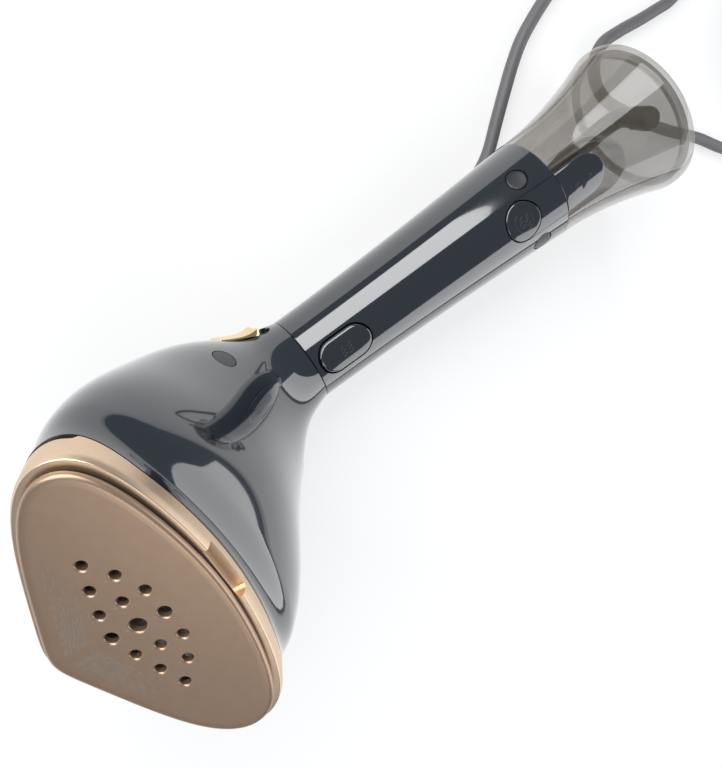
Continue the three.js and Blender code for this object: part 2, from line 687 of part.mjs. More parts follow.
// Flat track cut into the head, and the slot through it for the slider's stem.
const halfSlider = SLIDER_LENGTH / 2;
const sliderTrack = () => box(
  [-halfSlider - SLIDER_TRAVEL - 1, -SLIDER_WIDTH / 2 - 0.5, -0.2],
  [halfSlider + 1, SLIDER_WIDTH / 2 + 0.5, 12]);
const STEM_HALF = 3;
const sliderSlot = () => box([-STEM_HALF - SLIDER_TRAVEL - 0.5, -2, -7], [STEM_HALF + 0.5, 2, 5]);

function headShell() {
  return cut(headSkin, coverPlan(GAP),
    onSpot(sliderTrack(), sliderSpot), onSpot(sliderSlot(), sliderSpot),
    ...headCapSpots.map((spot) => onSpot(rod(CAP_R + GAP, -8, 8), spot)));
}
const headRearCover = () => common(headSkin, coverPlan(0));

// Feet stand square on the table that the steamer lies on.
function restFoot(sign) {
  const inward = new THREE.Vector3(Math.cos(LYING_TILT), 0, -Math.sin(LYING_TILT));
  const foot = revolve([[0, 0], [FOOT_R - 0.8, 0], [FOOT_R, 0.8], [FOOT_R, 14], [0, 14]], 24);
  return cut(aim(foot, new THREE.Vector3(FOOT_X, sign * FOOT_Y, FOOT_Z), inward), headSolid(-GAP));
}

const headScrewCap = (spot) => common(onSpot(rod(CAP_R, -2.1, 8), spot), headSolid(0));
const headScrew = (spot) => onSpot(revolve([
  [0, -16], [SCREW_R, -16], [SCREW_R, -4.6], [SCREW_HEAD_R, -4.6], [SCREW_HEAD_R, -2.7], [0, -2.7],
], 16), spot);

// Thumb slider: low at its head end, with a steep ramp at its neck end.
function powerSlider() {
  const shape = new THREE.Shape();
  shape.moveTo(-halfSlider, 0.1);
  shape.lineTo(halfSlider, 0.1);
  shape.lineTo(halfSlider, 1.2);
  shape.quadraticCurveTo(0, 0.8, -4.5, 1.3);
  shape.quadraticCurveTo(-6.5, 1.8, -7, 2.7);
  shape.lineTo(-8.4, 2.9);
  shape.quadraticCurveTo(-halfSlider, 2.7, -halfSlider, 2);
  const body = new THREE.ExtrudeGeometry(
    shape, { depth: SLIDER_WIDTH, bevelEnabled: false, curveSegments: 6 });
  body.rotateX(Math.PI / 2).translate(0, SLIDER_WIDTH / 2, 0);
  return onSpot(join(body, box([-STEM_HALF, -1.5, -5], [STEM_HALF, 1.5, 1])), sliderSpot);
}
const sliderCarrier = () => onSpot(box([-5, -5, -7.5], [5, 5, -5.3]), sliderSpot);

const NECK_SLEEVE_R = NECK_R - WALL - 0.4;
const neckSleeve = () => cut(
  ring(NECK_SLEEVE_R - 2.2, NECK_SLEEVE_R, NECK_Z - 10, NECK_Z + 8, 28),
  box([0, -FAR, NECK_Z - 11], [FAR, FAR, NECK_Z]));

place("neck_sleeve", neckSleeve(), darkPlastic);
place("head_shell", headShell(), blackGloss);
place("head_rear_cover", headRearCover(), blackGloss);
place("rest_foot_left", restFoot(1), rubber);
place("rest_foot_right", restFoot(-1), rubber);
headCapSpots.forEach((spot, k) => {
  place(`head_screw_cap_${["left", "right"][k]}`, headScrewCap(spot), blackGloss);
  place(`head_screw_${["left", "right"][k]}`, headScrew(spot), steel);
});
place("power_slider", powerSlider(), brass);
place("slider_carrier", sliderCarrier(), whiteNylon);

// ---------- soleplate and steam parts, in the plate's frame ----------
const SIDE = HOLE_PITCH_SIDE;
const LONG = HOLE_PITCH_LONG;
// Steam holes: three swept rows, nearest the tip first; each off-axis hole has a mirrored twin.
const HOLE_ROWS = [
  [[-LONG, 0], [-LONG + 2.2, 0.92 * SIDE], [-LONG + 5.1, 1.81 * SIDE], [-LONG + 8.5, 2.67 * SIDE]],
  [[0, 0], [1.3, 0.99 * SIDE], [5.1, 1.9 * SIDE]],
  [[LONG, 0], [LONG - 0.1, SIDE]],
];
const steamHoles = HOLE_ROWS.flat().flatMap(
  ([x, y]) => (y === 0 ? [[x, 0]] : [[x, y], [x, -y]]));
const holeRadius = ([x, y]) => {
  if (y !== 0) {
    return HOLE_R;
  }
  return HOLE_R * (x === 0 ? 1.5 : 1.2);
};

const drill = (spot) => {
  const r = holeRadius(spot);
  return revolve([
    [0, -PLATE_THICKNESS - 1], [r, -PLATE_THICKNESS - 1], [r, -0.6], [r + 0.7, 0.1],
    [r + 0.7, 1], [0, 1],
  ], 12).translate(spot[0], spot[1], 0);
};
const PLATE_IN = -0.9;
const soleplate = () => cut(
  plateLoft([
    [PLATE_IN - 1.9, 0], [PLATE_IN - 0.7, 0.35], [PLATE_IN, 1.2], [PLATE_IN, PLATE_THICKNESS],
  ]),
  ...steamHoles.map(drill));

// Plate, gasket and bezel are stacked, and the bezel widens towards the shell.
const BEZEL_IN = -2;
const gasketFront = PLATE_THICKNESS + GAP;
const bezelFront = gasketFront + GASKET_THICKNESS + GAP;
const bezelBackDepth = BEZEL_DEPTH - GAP;
const notchFloor = plateReach(0, BEZEL_LIP) - 2.6;
const notchBack = 8.6;
const bezelRing = () => cut(
  plateLoft([
    [BEZEL_LIP - 1.1, bezelFront], [BEZEL_LIP - 0.7, bezelFront + 0.5], [BEZEL_LIP, bezelFront + 3],
    [BEZEL_LIP, bezelBackDepth, BEZEL_DIP],
  ]),
  plateLoft([[BEZEL_IN, 0], [BEZEL_IN, BEZEL_DEPTH + 1]]),
  box([notchFloor, -NOTCH_WIDTH / 2, -notchBack], [FAR, NOTCH_WIDTH / 2, 1 - bezelFront]));
const plateGasket = () => cut(
  plateLoft([[-1.6, gasketFront], [-1.6, gasketFront + GASKET_THICKNESS]]),
  plateLoft([[-3.2, 0], [-3.2, BEZEL_DEPTH]]));

const FLANGE_DEPTH = PLATE_THICKNESS + 4;
const CAST_DEPTH = 24;
const boltSpots = [[3, 38], [3, -38], [-17, 10], [-17, -10]];
const steamChamber = () => cut(
  join(
    plateLoft([[-4, PLATE_THICKNESS + GAP], [-4, FLANGE_DEPTH]]),
    plateLoft([[-12, FLANGE_DEPTH - 1], [-13, CAST_DEPTH]])),
  plateLoft([[-15, PLATE_THICKNESS - 1], [-15, PLATE_THICKNESS + 5]]),
  ...boltSpots.map(([x, y]) => rod(SCREW_R + GAP, -CAST_DEPTH - 1, 0, 16).translate(x, y, 0)),
  ...boltSpots.map(([x, y]) => rod(SCREW_HEAD_R + GAP, -CAST_DEPTH - 1, -FLANGE_DEPTH, 16)
    .translate(x, y, 0)));
const boilerScrew = ([x, y]) => revolve([
  [0, -FLANGE_DEPTH - 2.4], [SCREW_HEAD_R, -FLANGE_DEPTH - 2.4], [SCREW_HEAD_R, -FLANGE_DEPTH - GAP],
  [SCREW_R, -FLANGE_DEPTH - GAP], [SCREW_R, -PLATE_THICKNESS - GAP], [0, -PLATE_THICKNESS - GAP],
], 16).translate(x, y, 0);

const ELEMENT_R = 3.1;
const elementZ = -CAST_DEPTH - ELEMENT_R - GAP;
const heatingElement = () => tube([
  [12, -27], [2, -29], [-7, -22], [-10, -10], [-11, 0], [-10, 10], [-7, 22], [2, 29], [12, 27],
].map(([x, y]) => new THREE.Vector3(x, y, elementZ)), ELEMENT_R, 8, 18);
const thermostat = () => revolve([
  [0, -CAST_DEPTH - 6.5], [5.5, -CAST_DEPTH - 6.5], [5.5, -CAST_DEPTH - 3], [7.5, -CAST_DEPTH - 3],
  [7.5, -CAST_DEPTH - GAP], [0, -CAST_DEPTH - GAP],
], 20).translate(3, -12, 0);
const thermalFuse = () => rod(2.2, -7, 7, 16).rotateX(Math.PI / 2)
  .translate(-1, 12, -CAST_DEPTH - 2.2 - GAP);

const SHIELD_DEPTH = CAST_DEPTH + 10;
const INLET_X = 10;
const heatShield = () => cut(
  plateLoft([[-9, SHIELD_DEPTH], [-9, SHIELD_DEPTH + 1.5]]),
  rod(HOSE_R + 1, -SHIELD_DEPTH - 3, -SHIELD_DEPTH + 1, 20).translate(INLET_X, 0, 0));

place("bezel", bezelRing(), roseGold, plateFrame);
place("plate_gasket", plateGasket(), rubber, plateFrame);
place("soleplate", soleplate(), bronzePlate, plateFrame);
place("steam_chamber", steamChamber(), castAlloy, plateFrame);
place("heating_element", heatingElement(), steel, plateFrame);
place("thermostat", thermostat(), darkPlastic, plateFrame);
place("thermal_fuse", thermalFuse(), whiteNylon, plateFrame);
place("heat_shield", heatShield(), steel, plateFrame);
boltSpots.forEach((spot, k) => {
  place(`boiler_screw_${k + 1}`, boilerScrew(spot), steel, plateFrame);
});

// Hose from the pump up the neck to the steam chamber's inlet.
plateFrame.updateMatrixWorld(true);
const onPlate = (x, y, z) => new THREE.Vector3(x, y, z).applyMatrix4(plateFrame.matrixWorld);
const outletHose = () => tube([
  new THREE.Vector3(PUMP_X, 0, pumpTop + GAP),
  new THREE.Vector3(PUMP_X - 1, 0, pumpTop + 12),
  new THREE.Vector3(PUMP_X - 1, 0, NECK_Z),
  new THREE.Vector3(3, 0, NECK_Z + 24),
  new THREE.Vector3(18, 0, NECK_Z + 47),
  new THREE.Vector3(37, 0, NECK_Z + 66),
  onPlate(INLET_X, 0, -SHIELD_DEPTH - 9),
  onPlate(INLET_X, 0, -CAST_DEPTH - GAP),
], HOSE_R, 8, 20);
place("outlet_hose", outletHose(), whiteNylon);

// ---------- mains lead ----------
const strainRelief = () => reliefCone(0);
const cordClamp = () => box([-13.5, -12, TANK_TOP + 55], [-8, -3, TANK_TOP + 61]);
const terminalBlock = () => box([-14, 3.5, TANK_TOP + 29], [-6.2, 13, TANK_TOP + 47]);
place("strain_relief", strainRelief(), rubber);
place("cord_clamp", cordClamp(), whiteNylon);
place("terminal_block", terminalBlock(), whiteNylon);

// ---------- lay the steamer down ----------
// The handle's axis becomes +X towards the head and the trigger side becomes +Z.
const swap = new THREE.Quaternion().setFromAxisAngle(new THREE.Vector3(1, 0, 1).normalize(), Math.PI);
const lean = new THREE.Quaternion().setFromAxisAngle(new THREE.Vector3(0, 1, 0), LYING_TILT);
upright.quaternion.copy(lean).multiply(swap);
garmentSteamer.updateMatrixWorld(true);
const extent = new THREE.Box3().setFromObject(garmentSteamer, true);
upright.position.set(-(extent.min.x + extent.max.x) / 2, 0, -extent.min.z);
garmentSteamer.updateMatrixWorld(true);

// ---------- the lead on the table, in the lying frame ----------
const cordHeight = CORD_R + 0.05;

// Route of the lead from the strain relief to the coil, seen from above.
const ROUTE = [
  [-94.7, -9.4], [-106.7, -15.8], [-119.7, -27.5], [-130.7, -37.4], [-140.7, -46], [-150.2, -52.8],
  [-160.7, -58], [-171.7, -62.5], [-193.7, -70], [-218.7, -76.5], [-243.7, -76.5], [-264.7, -67],
  [-274.7, -49], [-268.7, -32], [-248.7, -25.4], [-236.7, -25.6], [-223.7, -26.4], [-208.7, -27.8],
  [-195.7, -27.5], [-186.7, -21.5], [-183.9, -11], [-187.7, 0.5], [-198.2, 12.5], [-209.7, 25],
  [-222.7, 36.8], [-238.7, 49.5], [-254.7, 65.2], [-270, 77.3], [-287, 83.6],
];
const coilCentre = new THREE.Vector3(-320.5, 40, 0);
const coilOuter = COIL_MEAN_R + COIL_COLUMNS * CORD_R;
const coilInner = COIL_MEAN_R - COIL_COLUMNS * CORD_R;
const coilHeight = COIL_LAYERS * 2 * CORD_R;
const outerTurn = coilOuter - CORD_R;

// Distance along a tangent of the outer turn at which a round lead of radius r clears the coil.
const clearRun = (r) => Math.sqrt((coilOuter + GAP) ** 2 - (outerTurn - r) ** 2);

// Point on a tangent of the outer turn, at a direction round the coil and a run along it.
function tangentPoint(degrees, run, height) {
  const angle = THREE.MathUtils.degToRad(degrees);
  const [c, s] = [Math.cos(angle), Math.sin(angle)];
  return new THREE.Vector3(outerTurn * c - run * s, outerTurn * s + run * c, height).add(coilCentre);
}
const COIL_ENTRY = 100;             // direction at which the lead joins the coil, degrees
const PLUG_EXIT = 200;              // direction at which it leaves for the plug

function powerCord() {
  const start = reliefTip.clone().addScaledVector(reliefDirection, GAP)
    .applyMatrix4(upright.matrixWorld);
  return tube([
    start,
    start.clone().add(new THREE.Vector3(-6, -2.4, -1.1)),
    ...ROUTE.map(([x, y]) => new THREE.Vector3(x, y, cordHeight)),
    tangentPoint(COIL_ENTRY, -clearRun(CORD_R), cordHeight),
  ], CORD_R, 10, 44);
}
const cordCoil = () => ring(coilInner, coilOuter, 0, coilHeight, 36)
  .translate(coilCentre.x, coilCentre.y, 0);

const PLUG_HEIGHT = 17;
const PLUG_WIDTH = 25;
const PLUG_TAIL = 16;
const PLUG_LENGTH = 40;
const BLADE_LENGTH = 17;
const BLADE_GAP = 12.7;
const TAIL_R = 4.6;

// Lays a plug piece, drawn along x from the tail, beside the coil.
function beside(geometry) {
  const start = tangentPoint(PLUG_EXIT, clearRun(TAIL_R), PLUG_HEIGHT / 2);
  return geometry.rotateZ(THREE.MathUtils.degToRad(PLUG_EXIT + 90)).translate(start.x, start.y, start.z);
}
function plugBody() {
  const r = 5;
  const [w, h] = [PLUG_WIDTH / 2, PLUG_HEIGHT / 2];
  const section = new THREE.Shape();
  section.absarc(h - r, w - r, r, 0, Math.PI / 2, false);
  section.absarc(r - h, w - r, r, Math.PI / 2, Math.PI, false);
  section.absarc(r - h, r - w, r, Math.PI, 1.5 * Math.PI, false);
  section.absarc(h - r, r - w, r, 1.5 * Math.PI, 2 * Math.PI, false);
  const grip = new THREE.ExtrudeGeometry(section, {
    depth: PLUG_LENGTH - PLUG_TAIL, bevelEnabled: false, curveSegments: 3,
  }).rotateY(Math.PI / 2).translate(PLUG_TAIL, 0, 0);
  const tail = revolve([[0, 0], [TAIL_R, 0], [7, PLUG_TAIL + 2], [0, PLUG_TAIL + 2]], 20)
    .rotateY(Math.PI / 2);
  return beside(join(tail, grip));
}
const plugBlade = (sign) => {
  const y = (sign * BLADE_GAP) / 2;
  return beside(box([PLUG_LENGTH + GAP, y - 0.75, -3.15], [PLUG_LENGTH + BLADE_LENGTH, y + 0.75, 3.15]));
};

place("power_cord", powerCord(), cordGrey, garmentSteamer);
place("cord_coil", cordCoil(), cordGrey, garmentSteamer);
place("plug_body", plugBody(), cordGrey, garmentSteamer);
place("plug_blade_left", plugBlade(1), brass, garmentSteamer);
place("plug_blade_right", plugBlade(-1), brass, garmentSteamer);
garmentSteamer.updateMatrixWorld(true);

export default garmentSteamer;
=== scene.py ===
"""Garment steamer lying on its back on a pale table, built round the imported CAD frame.

The steamer is drawn upright in millimetres (x towards the trigger, y to its left,
z along the handle towards the head) and carried to the row frame by to_row().
"""

import json
import math

import bmesh
import bpy
import numpy as np
from mathutils import Matrix, Vector


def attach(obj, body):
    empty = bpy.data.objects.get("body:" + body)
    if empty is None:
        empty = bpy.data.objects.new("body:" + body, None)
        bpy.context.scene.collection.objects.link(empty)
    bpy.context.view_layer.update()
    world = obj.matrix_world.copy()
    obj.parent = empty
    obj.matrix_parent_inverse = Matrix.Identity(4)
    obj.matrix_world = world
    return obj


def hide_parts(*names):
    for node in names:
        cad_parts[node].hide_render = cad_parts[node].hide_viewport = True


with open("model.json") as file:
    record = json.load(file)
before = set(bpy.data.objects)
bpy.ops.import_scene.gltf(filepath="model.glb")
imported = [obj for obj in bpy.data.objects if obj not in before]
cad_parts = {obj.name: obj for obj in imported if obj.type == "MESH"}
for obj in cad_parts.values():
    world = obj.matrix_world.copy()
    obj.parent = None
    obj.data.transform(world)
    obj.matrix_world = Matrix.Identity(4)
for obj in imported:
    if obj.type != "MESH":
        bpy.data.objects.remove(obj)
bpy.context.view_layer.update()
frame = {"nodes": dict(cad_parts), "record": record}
nodes = frame["nodes"]
TAU = 2 * math.pi

# ---------- frames ----------

TO_ROW = np.array([[0.054313, 0, 0.998524], [0, -1, 0], [0.998524, 0, -0.054313]])
ROW_SHIFT = np.array([-166.545, 0, 37.217])


def to_row(points):
    """Upright millimetres to row metres."""
    return (np.asarray(points, float) @ TO_ROW.T + ROW_SHIFT) / 1000


def flat_row(points):
    """Row millimetres to row metres."""
    return np.asarray(points, float) / 1000


# ---------- camera ----------

CAMERA_AT = (310.01, 129.54, 262.28)
CAMERA_RIGHT = (0.43057, -0.45783, -0.77781)
CAMERA_DOWN = (0.23896, -0.77321, 0.58741)
CAMERA_LENS = 39.97

right = Vector(TO_ROW @ np.array(CAMERA_RIGHT)).normalized()
down = Vector(TO_ROW @ np.array(CAMERA_DOWN))
down = (down - right * down.dot(right)).normalized()
ahead = right.cross(down)
camera = bpy.data.objects.new("camera", bpy.data.cameras.new("camera"))
camera.data.lens = CAMERA_LENS
camera.data.sensor_width = 36
camera.data.sensor_fit = "HORIZONTAL"
camera.data.clip_start = 0.01
turn = Matrix((right, -down, -ahead)).transposed().to_4x4()
camera.matrix_world = Matrix.Translation(Vector(to_row(CAMERA_AT))) @ turn
bpy.context.scene.collection.objects.link(camera)
bpy.context.scene.camera = camera
bpy.context.scene.view_settings.view_transform = "Standard"


# ---------- materials ----------


def node(tree, kind, inputs=None, **settings):
    made = tree.nodes.new(kind)
    for key, value in settings.items():
        setattr(made, key, value)
    for key, value in (inputs or {}).items():
        made.inputs[key].default_value = value
    return made


def surface(name, colour, rough, metal=0.0, grain=900.0, vary=0.06, bump=0.02,
            rough_vary=0.08, speckle=None, **sockets):
    """A moulded, metal or rubber finish: colour drift, roughness drift and a fine bump."""
    made = bpy.data.materials.new(name)
    made.use_nodes = True
    tree = made.node_tree
    shader = tree.nodes["Principled BSDF"]
    shader.inputs["Metallic"].default_value = metal
    for key, value in sockets.items():
        shader.inputs[key.replace("_", " ")].default_value = value
    where = node(tree, "ShaderNodeTexCoord").outputs["Object"]
    drift = node(tree, "ShaderNodeTexNoise", {"Scale": grain / 14, "Detail": 3.0})
    fine = node(tree, "ShaderNodeTexNoise", {"Scale": grain, "Detail": 4.0})
    for texture in (drift, fine):
        tree.links.new(where, texture.inputs["Vector"])
    low = [c * (1 - vary) for c in colour] + [1]
    high = [min(1, c * (1 + vary)) for c in colour] + [1]
    tint = node(tree, "ShaderNodeMix", data_type="RGBA")
    tint.inputs[6].default_value = low
    tint.inputs[7].default_value = high
    tree.links.new(drift.outputs["Fac"], tint.inputs[0])
    result = tint.outputs[2]
    if speckle:
        amount, bright, spacing = speckle
        dots = node(tree, "ShaderNodeTexVoronoi", {"Scale": spacing})
        tree.links.new(where, dots.inputs["Vector"])
        ramp = node(tree, "ShaderNodeMapRange",
                    {"From Min": 0.0, "From Max": 0.25, "To Min": amount, "To Max": 0.0})
        tree.links.new(dots.outputs["Distance"], ramp.inputs["Value"])
        flakes = node(tree, "ShaderNodeMix", data_type="RGBA")
        flakes.inputs[7].default_value = (*bright, 1)
        tree.links.new(ramp.outputs["Result"], flakes.inputs[0])
        tree.links.new(result, flakes.inputs[6])
        result = flakes.outputs[2]
    tree.links.new(result, shader.inputs["Base Color"])
    spread = node(tree, "ShaderNodeMapRange", {
        "To Min": max(0.0, rough * (1 - rough_vary)), "To Max": min(1.0, rough * (1 + rough_vary))})
    tree.links.new(fine.outputs["Fac"], spread.inputs["Value"])
    tree.links.new(spread.outputs["Result"], shader.inputs["Roughness"])
    relief = node(tree, "ShaderNodeBump", {"Strength": bump, "Distance": 0.0002})
    tree.links.new(fine.outputs["Fac"], relief.inputs["Height"])
    tree.links.new(relief.outputs["Normal"], shader.inputs["Normal"])
    return made


def clear_plastic(name, colour, alpha_front, alpha_edge):
    """Smoke-tinted clear plastic: tinted see-through body with a polished skin."""
    made = bpy.data.materials.new(name)
    made.use_nodes = True
    tree = made.node_tree
    shader = tree.nodes["Principled BSDF"]
    shader.inputs["Base Color"].default_value = (*colour, 1)
    shader.inputs["Specular IOR Level"].default_value = 1.0
    shader.inputs["Coat Weight"].default_value = 1.0
    shader.inputs["Coat Roughness"].default_value = 0.03
    where = node(tree, "ShaderNodeTexCoord").outputs["Object"]
    flow = node(tree, "ShaderNodeTexNoise", {"Scale": 60.0, "Detail": 3.0})
    tree.links.new(where, flow.inputs["Vector"])
    spread = node(tree, "ShaderNodeMapRange", {"To Min": 0.03, "To Max": 0.07})
    tree.links.new(flow.outputs["Fac"], spread.inputs["Value"])
    tree.links.new(spread.outputs["Result"], shader.inputs["Roughness"])
    facing = node(tree, "ShaderNodeLayerWeight", {"Blend": 0.3})
    edge = node(tree, "ShaderNodeMapRange", {"To Min": alpha_front, "To Max": alpha_edge})
    tree.links.new(facing.outputs["Facing"], edge.inputs["Value"])
    tree.links.new(edge.outputs["Result"], shader.inputs["Alpha"])
    return made


black = surface("black_gloss_plastic", (0.009, 0.012, 0.017), 0.07, grain=500, bump=0.01,
                Specular_IOR_Level=0.8, Coat_Weight=1.0, Coat_Roughness=0.03)
satin = surface("black_satin_plastic", (0.014, 0.016, 0.019), 0.22, grain=2600, bump=0.05,
                Specular_IOR_Level=0.5)
smoke = clear_plastic("smoke_clear_plastic", (0.11, 0.088, 0.06), 0.24, 0.72)
deep_smoke = clear_plastic("deep_smoke_plastic", (0.07, 0.065, 0.058), 0.42, 0.8)
rose = surface("rose_gold_metal", (0.70, 0.53, 0.38), 0.36, 1.0, grain=3000, bump=0.03,
               speckle=(0.25, (0.9, 0.76, 0.6), 2200))
bronze = surface("bronze_ceramic_plate", (0.40, 0.275, 0.19), 0.36, 0.8, grain=3600, bump=0.05,
                 speckle=(0.22, (0.75, 0.62, 0.5), 2600))
print_grey = surface("printed_grey", (0.25, 0.225, 0.205), 0.45, 0.4, grain=2000)
gold = surface("gold_chrome", (0.93, 0.70, 0.36), 0.1, 1.0, grain=800, bump=0.01)
rubber = surface("black_rubber", (0.02, 0.02, 0.021), 0.6, grain=2500, bump=0.2)
jacket = surface("cord_jacket", (0.105, 0.1, 0.104), 0.5, grain=1800, bump=0.15,
                 Sheen_Weight=0.1)
moulded = surface("dark_moulded_plastic", (0.02, 0.021, 0.024), 0.4, grain=2200, bump=0.08)
nylon = surface("white_nylon", (0.75, 0.73, 0.68), 0.45, grain=1800, bump=0.06)
steel = surface("bright_steel", (0.62, 0.63, 0.65), 0.28, 1.0, grain=2400, bump=0.04)
casting = surface("cast_alloy", (0.5, 0.5, 0.51), 0.55, 1.0, grain=1400, bump=0.5)
board = surface("board_green", (0.02, 0.14, 0.06), 0.35, grain=700, bump=0.03)
blade_brass = surface("blade_brass", (0.72, 0.52, 0.24), 0.22, 1.0, grain=2200, bump=0.04)
LOOKS = {
    "black_gloss": black, "black_satin": satin, "dark_plastic": moulded, "white_nylon": nylon,
    "board_green": board, "smoke_tank": smoke, "rose_gold": rose, "bronze_plate": bronze,
    "gold_trim": gold, "cast_alloy": casting, "steel": steel, "brass_blade": blade_brass,
    "seal_rubber": rubber, "cord_jacket": jacket,
}


# ---------- mesh helpers ----------


def build(name, points, faces, carry=to_row):
    """A mesh object from points in millimetres, with its faces turned outwards."""
    mesh = bpy.data.meshes.new(name)
    mesh.from_pydata([tuple(p) for p in carry(points)], [], faces)
    work = bmesh.new()
    work.from_mesh(mesh)
    bmesh.ops.recalc_face_normals(work, faces=work.faces)
    work.to_mesh(mesh)
    work.free()
    made = bpy.data.objects.new(name, mesh)
    bpy.context.scene.collection.objects.link(made)
    return made


def skin(rows, wrap=False):
    """Faces between rows of equal length; the ends are capped unless the rows wrap round."""
    rows = np.asarray(rows, float)
    count, width = rows.shape[:2]
    faces = []
    for i in range(count if wrap else count - 1):
        a, b = i * width, ((i + 1) % count) * width
        for k in range(width):
            j = (k + 1) % width
            faces.append((a + k, a + j, b + j, b + k))
    if not wrap:
        faces.append(tuple(reversed(range(width))))
        faces.append(tuple(range((count - 1) * width, count * width)))
    return rows.reshape(-1, 3), faces


def lathe(profile, segments=160):
    """Solid of revolution about z from (radius, z) pairs; it closes on the axis or on itself."""
    points, faces, rings = [], [], []
    angles = np.arange(segments) * TAU / segments
    for r, z in profile:
        start = len(points)
        if r == 0:
            points.append((0, 0, z))
            rings.append([start] * segments)
        else:
            points += [(r * math.cos(a), r * math.sin(a), z) for a in angles]
            rings.append(list(range(start, start + segments)))
    pairs = list(zip(rings, rings[1:]))
    if profile[0][0] != 0:
        pairs.append((rings[-1], rings[0]))
    for a, b in pairs:
        for k in range(segments):
            j = (k + 1) % segments
            face = list(dict.fromkeys((a[k], a[j], b[j], b[k])))
            if len(face) > 2:
                faces.append(tuple(face))
    return np.array(points, float), faces


def gather(shapes):
    """Several closed shapes as one set of points and faces."""
    points, faces, start = [], [], 0
    for shape_points, shape_faces in shapes:
        points.append(np.asarray(shape_points, float))
        faces += [tuple(i + start for i in face) for face in shape_faces]
        start += len(shape_points)
    return np.concatenate(points), faces


def block(low, high):
    x, y, z = zip(low, high)
    rows = [[(x[0], y[0], k), (x[1], y[0], k), (x[1], y[1], k), (x[0], y[1], k)] for k in z]
    return skin(rows)


def spin(points, degrees):
    """Points turned about the upright z axis."""
    a = math.radians(degrees)
    c, s = math.cos(a), math.sin(a)
    return np.asarray(points, float) @ np.array([[c, s, 0], [-s, c, 0], [0, 0, 1]])


def boolean(target, how, *tools):
    """Cuts, joins or intersects target with each tool, which is used up."""
    for tool in tools:
        step = target.modifiers.new("step", "BOOLEAN")
        step.operation = how
        step.solver = "EXACT"
        step.object = tool
        shown = target.evaluated_get(bpy.context.evaluated_depsgraph_get())
        mesh = bpy.data.meshes.new_from_object(shown)
        target.modifiers.clear()
        old = target.data
        target.data = mesh
        bpy.data.meshes.remove(old)
        bpy.data.objects.remove(tool)
    return target


def finish(made, look, body, replaced=(), sharp=32):
    """Shading, material and place in the model for a piece."""
    mesh = made.data
    work = bmesh.new()
    work.from_mesh(mesh)
    limit = math.radians(sharp)
    for face in work.faces:
        face.smooth = face.calc_area() < 2e-5 or len(face.verts) < 9
    for edge in work.edges:
        edge.smooth = len(edge.link_faces) == 2 and edge.calc_face_angle() < limit
    work.to_mesh(mesh)
    work.free()
    mesh.materials.clear()
    mesh.materials.append(look)
    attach(made, body)
    if replaced:
        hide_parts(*replaced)
    return made


def wire(name, strokes, radius, look, body, carry=to_row, sides=4, replaced=()):
    """Round-section lines through points in millimetres."""
    data = bpy.data.curves.new(name, "CURVE")
    data.dimensions = "3D"
    data.bevel_depth = radius / 1000
    data.bevel_resolution = sides
    data.use_fill_caps = True
    for stroke in strokes:
        spline = data.splines.new("POLY")
        spline.points.add(len(stroke) - 1)
        for point, at in zip(spline.points, carry(stroke)):
            point.co = (*at, 1)
        spline.use_smooth = True
    data.materials.append(look)
    made = bpy.data.objects.new(name, data)
    bpy.context.scene.collection.objects.link(made)
    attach(made, body)
    if replaced:
        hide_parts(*replaced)
    return made


def through(points, count):
    """Points evenly along a smooth curve through the given ones (centripetal Catmull-Rom)."""
    p = [np.asarray(q, float) for q in points]
    p = [2 * p[0] - p[1], *p, 2 * p[-1] - p[-2]]
    out = []
    for a, b, c, d in zip(p, p[1:], p[2:], p[3:]):
        t0 = 0.0
        t1 = t0 + np.linalg.norm(b - a) ** 0.5
        t2 = t1 + np.linalg.norm(c - b) ** 0.5
        t3 = t2 + np.linalg.norm(d - c) ** 0.5
        for t in np.linspace(t1, t2, 24, endpoint=False):
            ab = (t1 - t) / (t1 - t0) * a + (t - t0) / (t1 - t0) * b
            bc = (t2 - t) / (t2 - t1) * b + (t - t1) / (t2 - t1) * c
            cd = (t3 - t) / (t3 - t2) * c + (t - t2) / (t3 - t2) * d
            abc = (t2 - t) / (t2 - t0) * ab + (t - t0) / (t2 - t0) * bc
            bcd = (t3 - t) / (t3 - t1) * bc + (t - t1) / (t3 - t1) * cd
            out.append((t2 - t) / (t2 - t1) * abc + (t - t1) / (t2 - t1) * bcd)
    out.append(p[-2])
    return even(np.array(out), count)


def even(line, count):
    """The same line with evenly spaced points."""
    run = np.concatenate([[0], np.cumsum(np.linalg.norm(np.diff(line, axis=0), axis=1))])
    at = np.linspace(0, run[-1], count)
    return np.stack([np.interp(at, run, line[:, k]) for k in range(line.shape[1])], 1)


# ---------- the lead, in row millimetres ----------

CORD_R = 3.2
CORD_HEIGHT = CORD_R + 0.05
RELIEF_TIP = np.array([-27.8, 3, 88])
RELIEF_DIRECTION = np.array([-0.29, 0.33, -0.9]) / math.sqrt(0.29**2 + 0.33**2 + 0.9**2)
ROUTE = [
    [-94.7, -9.4], [-106.7, -15.8], [-119.7, -27.5], [-130.7, -37.4], [-140.7, -46], [-150.2, -52.8],
    [-160.7, -58], [-171.7, -62.5], [-193.7, -70], [-218.7, -76.5], [-243.7, -76.5], [-264.7, -67],
    [-274.7, -49], [-268.7, -32], [-248.7, -25.4], [-236.7, -25.6], [-223.7, -26.4], [-208.7, -27.8],
    [-195.7, -27.5], [-186.7, -21.5], [-183.9, -11], [-187.7, 0.5], [-198.2, 12.5], [-209.7, 25],
    [-222.7, 36.8], [-238.7, 49.5], [-254.7, 65.2], [-270, 77.3], [-287, 83.6],
]
COIL_CENTRE = np.array([-320.5, 40])
OUTER_TURN = 39.2
INNER_TURN = 32.8
COIL_OUTER = OUTER_TURN + CORD_R
COIL_ENTRY = 100.0
PLUG_EXIT = 200.0
GAP = 0.3
LAYERS = 3


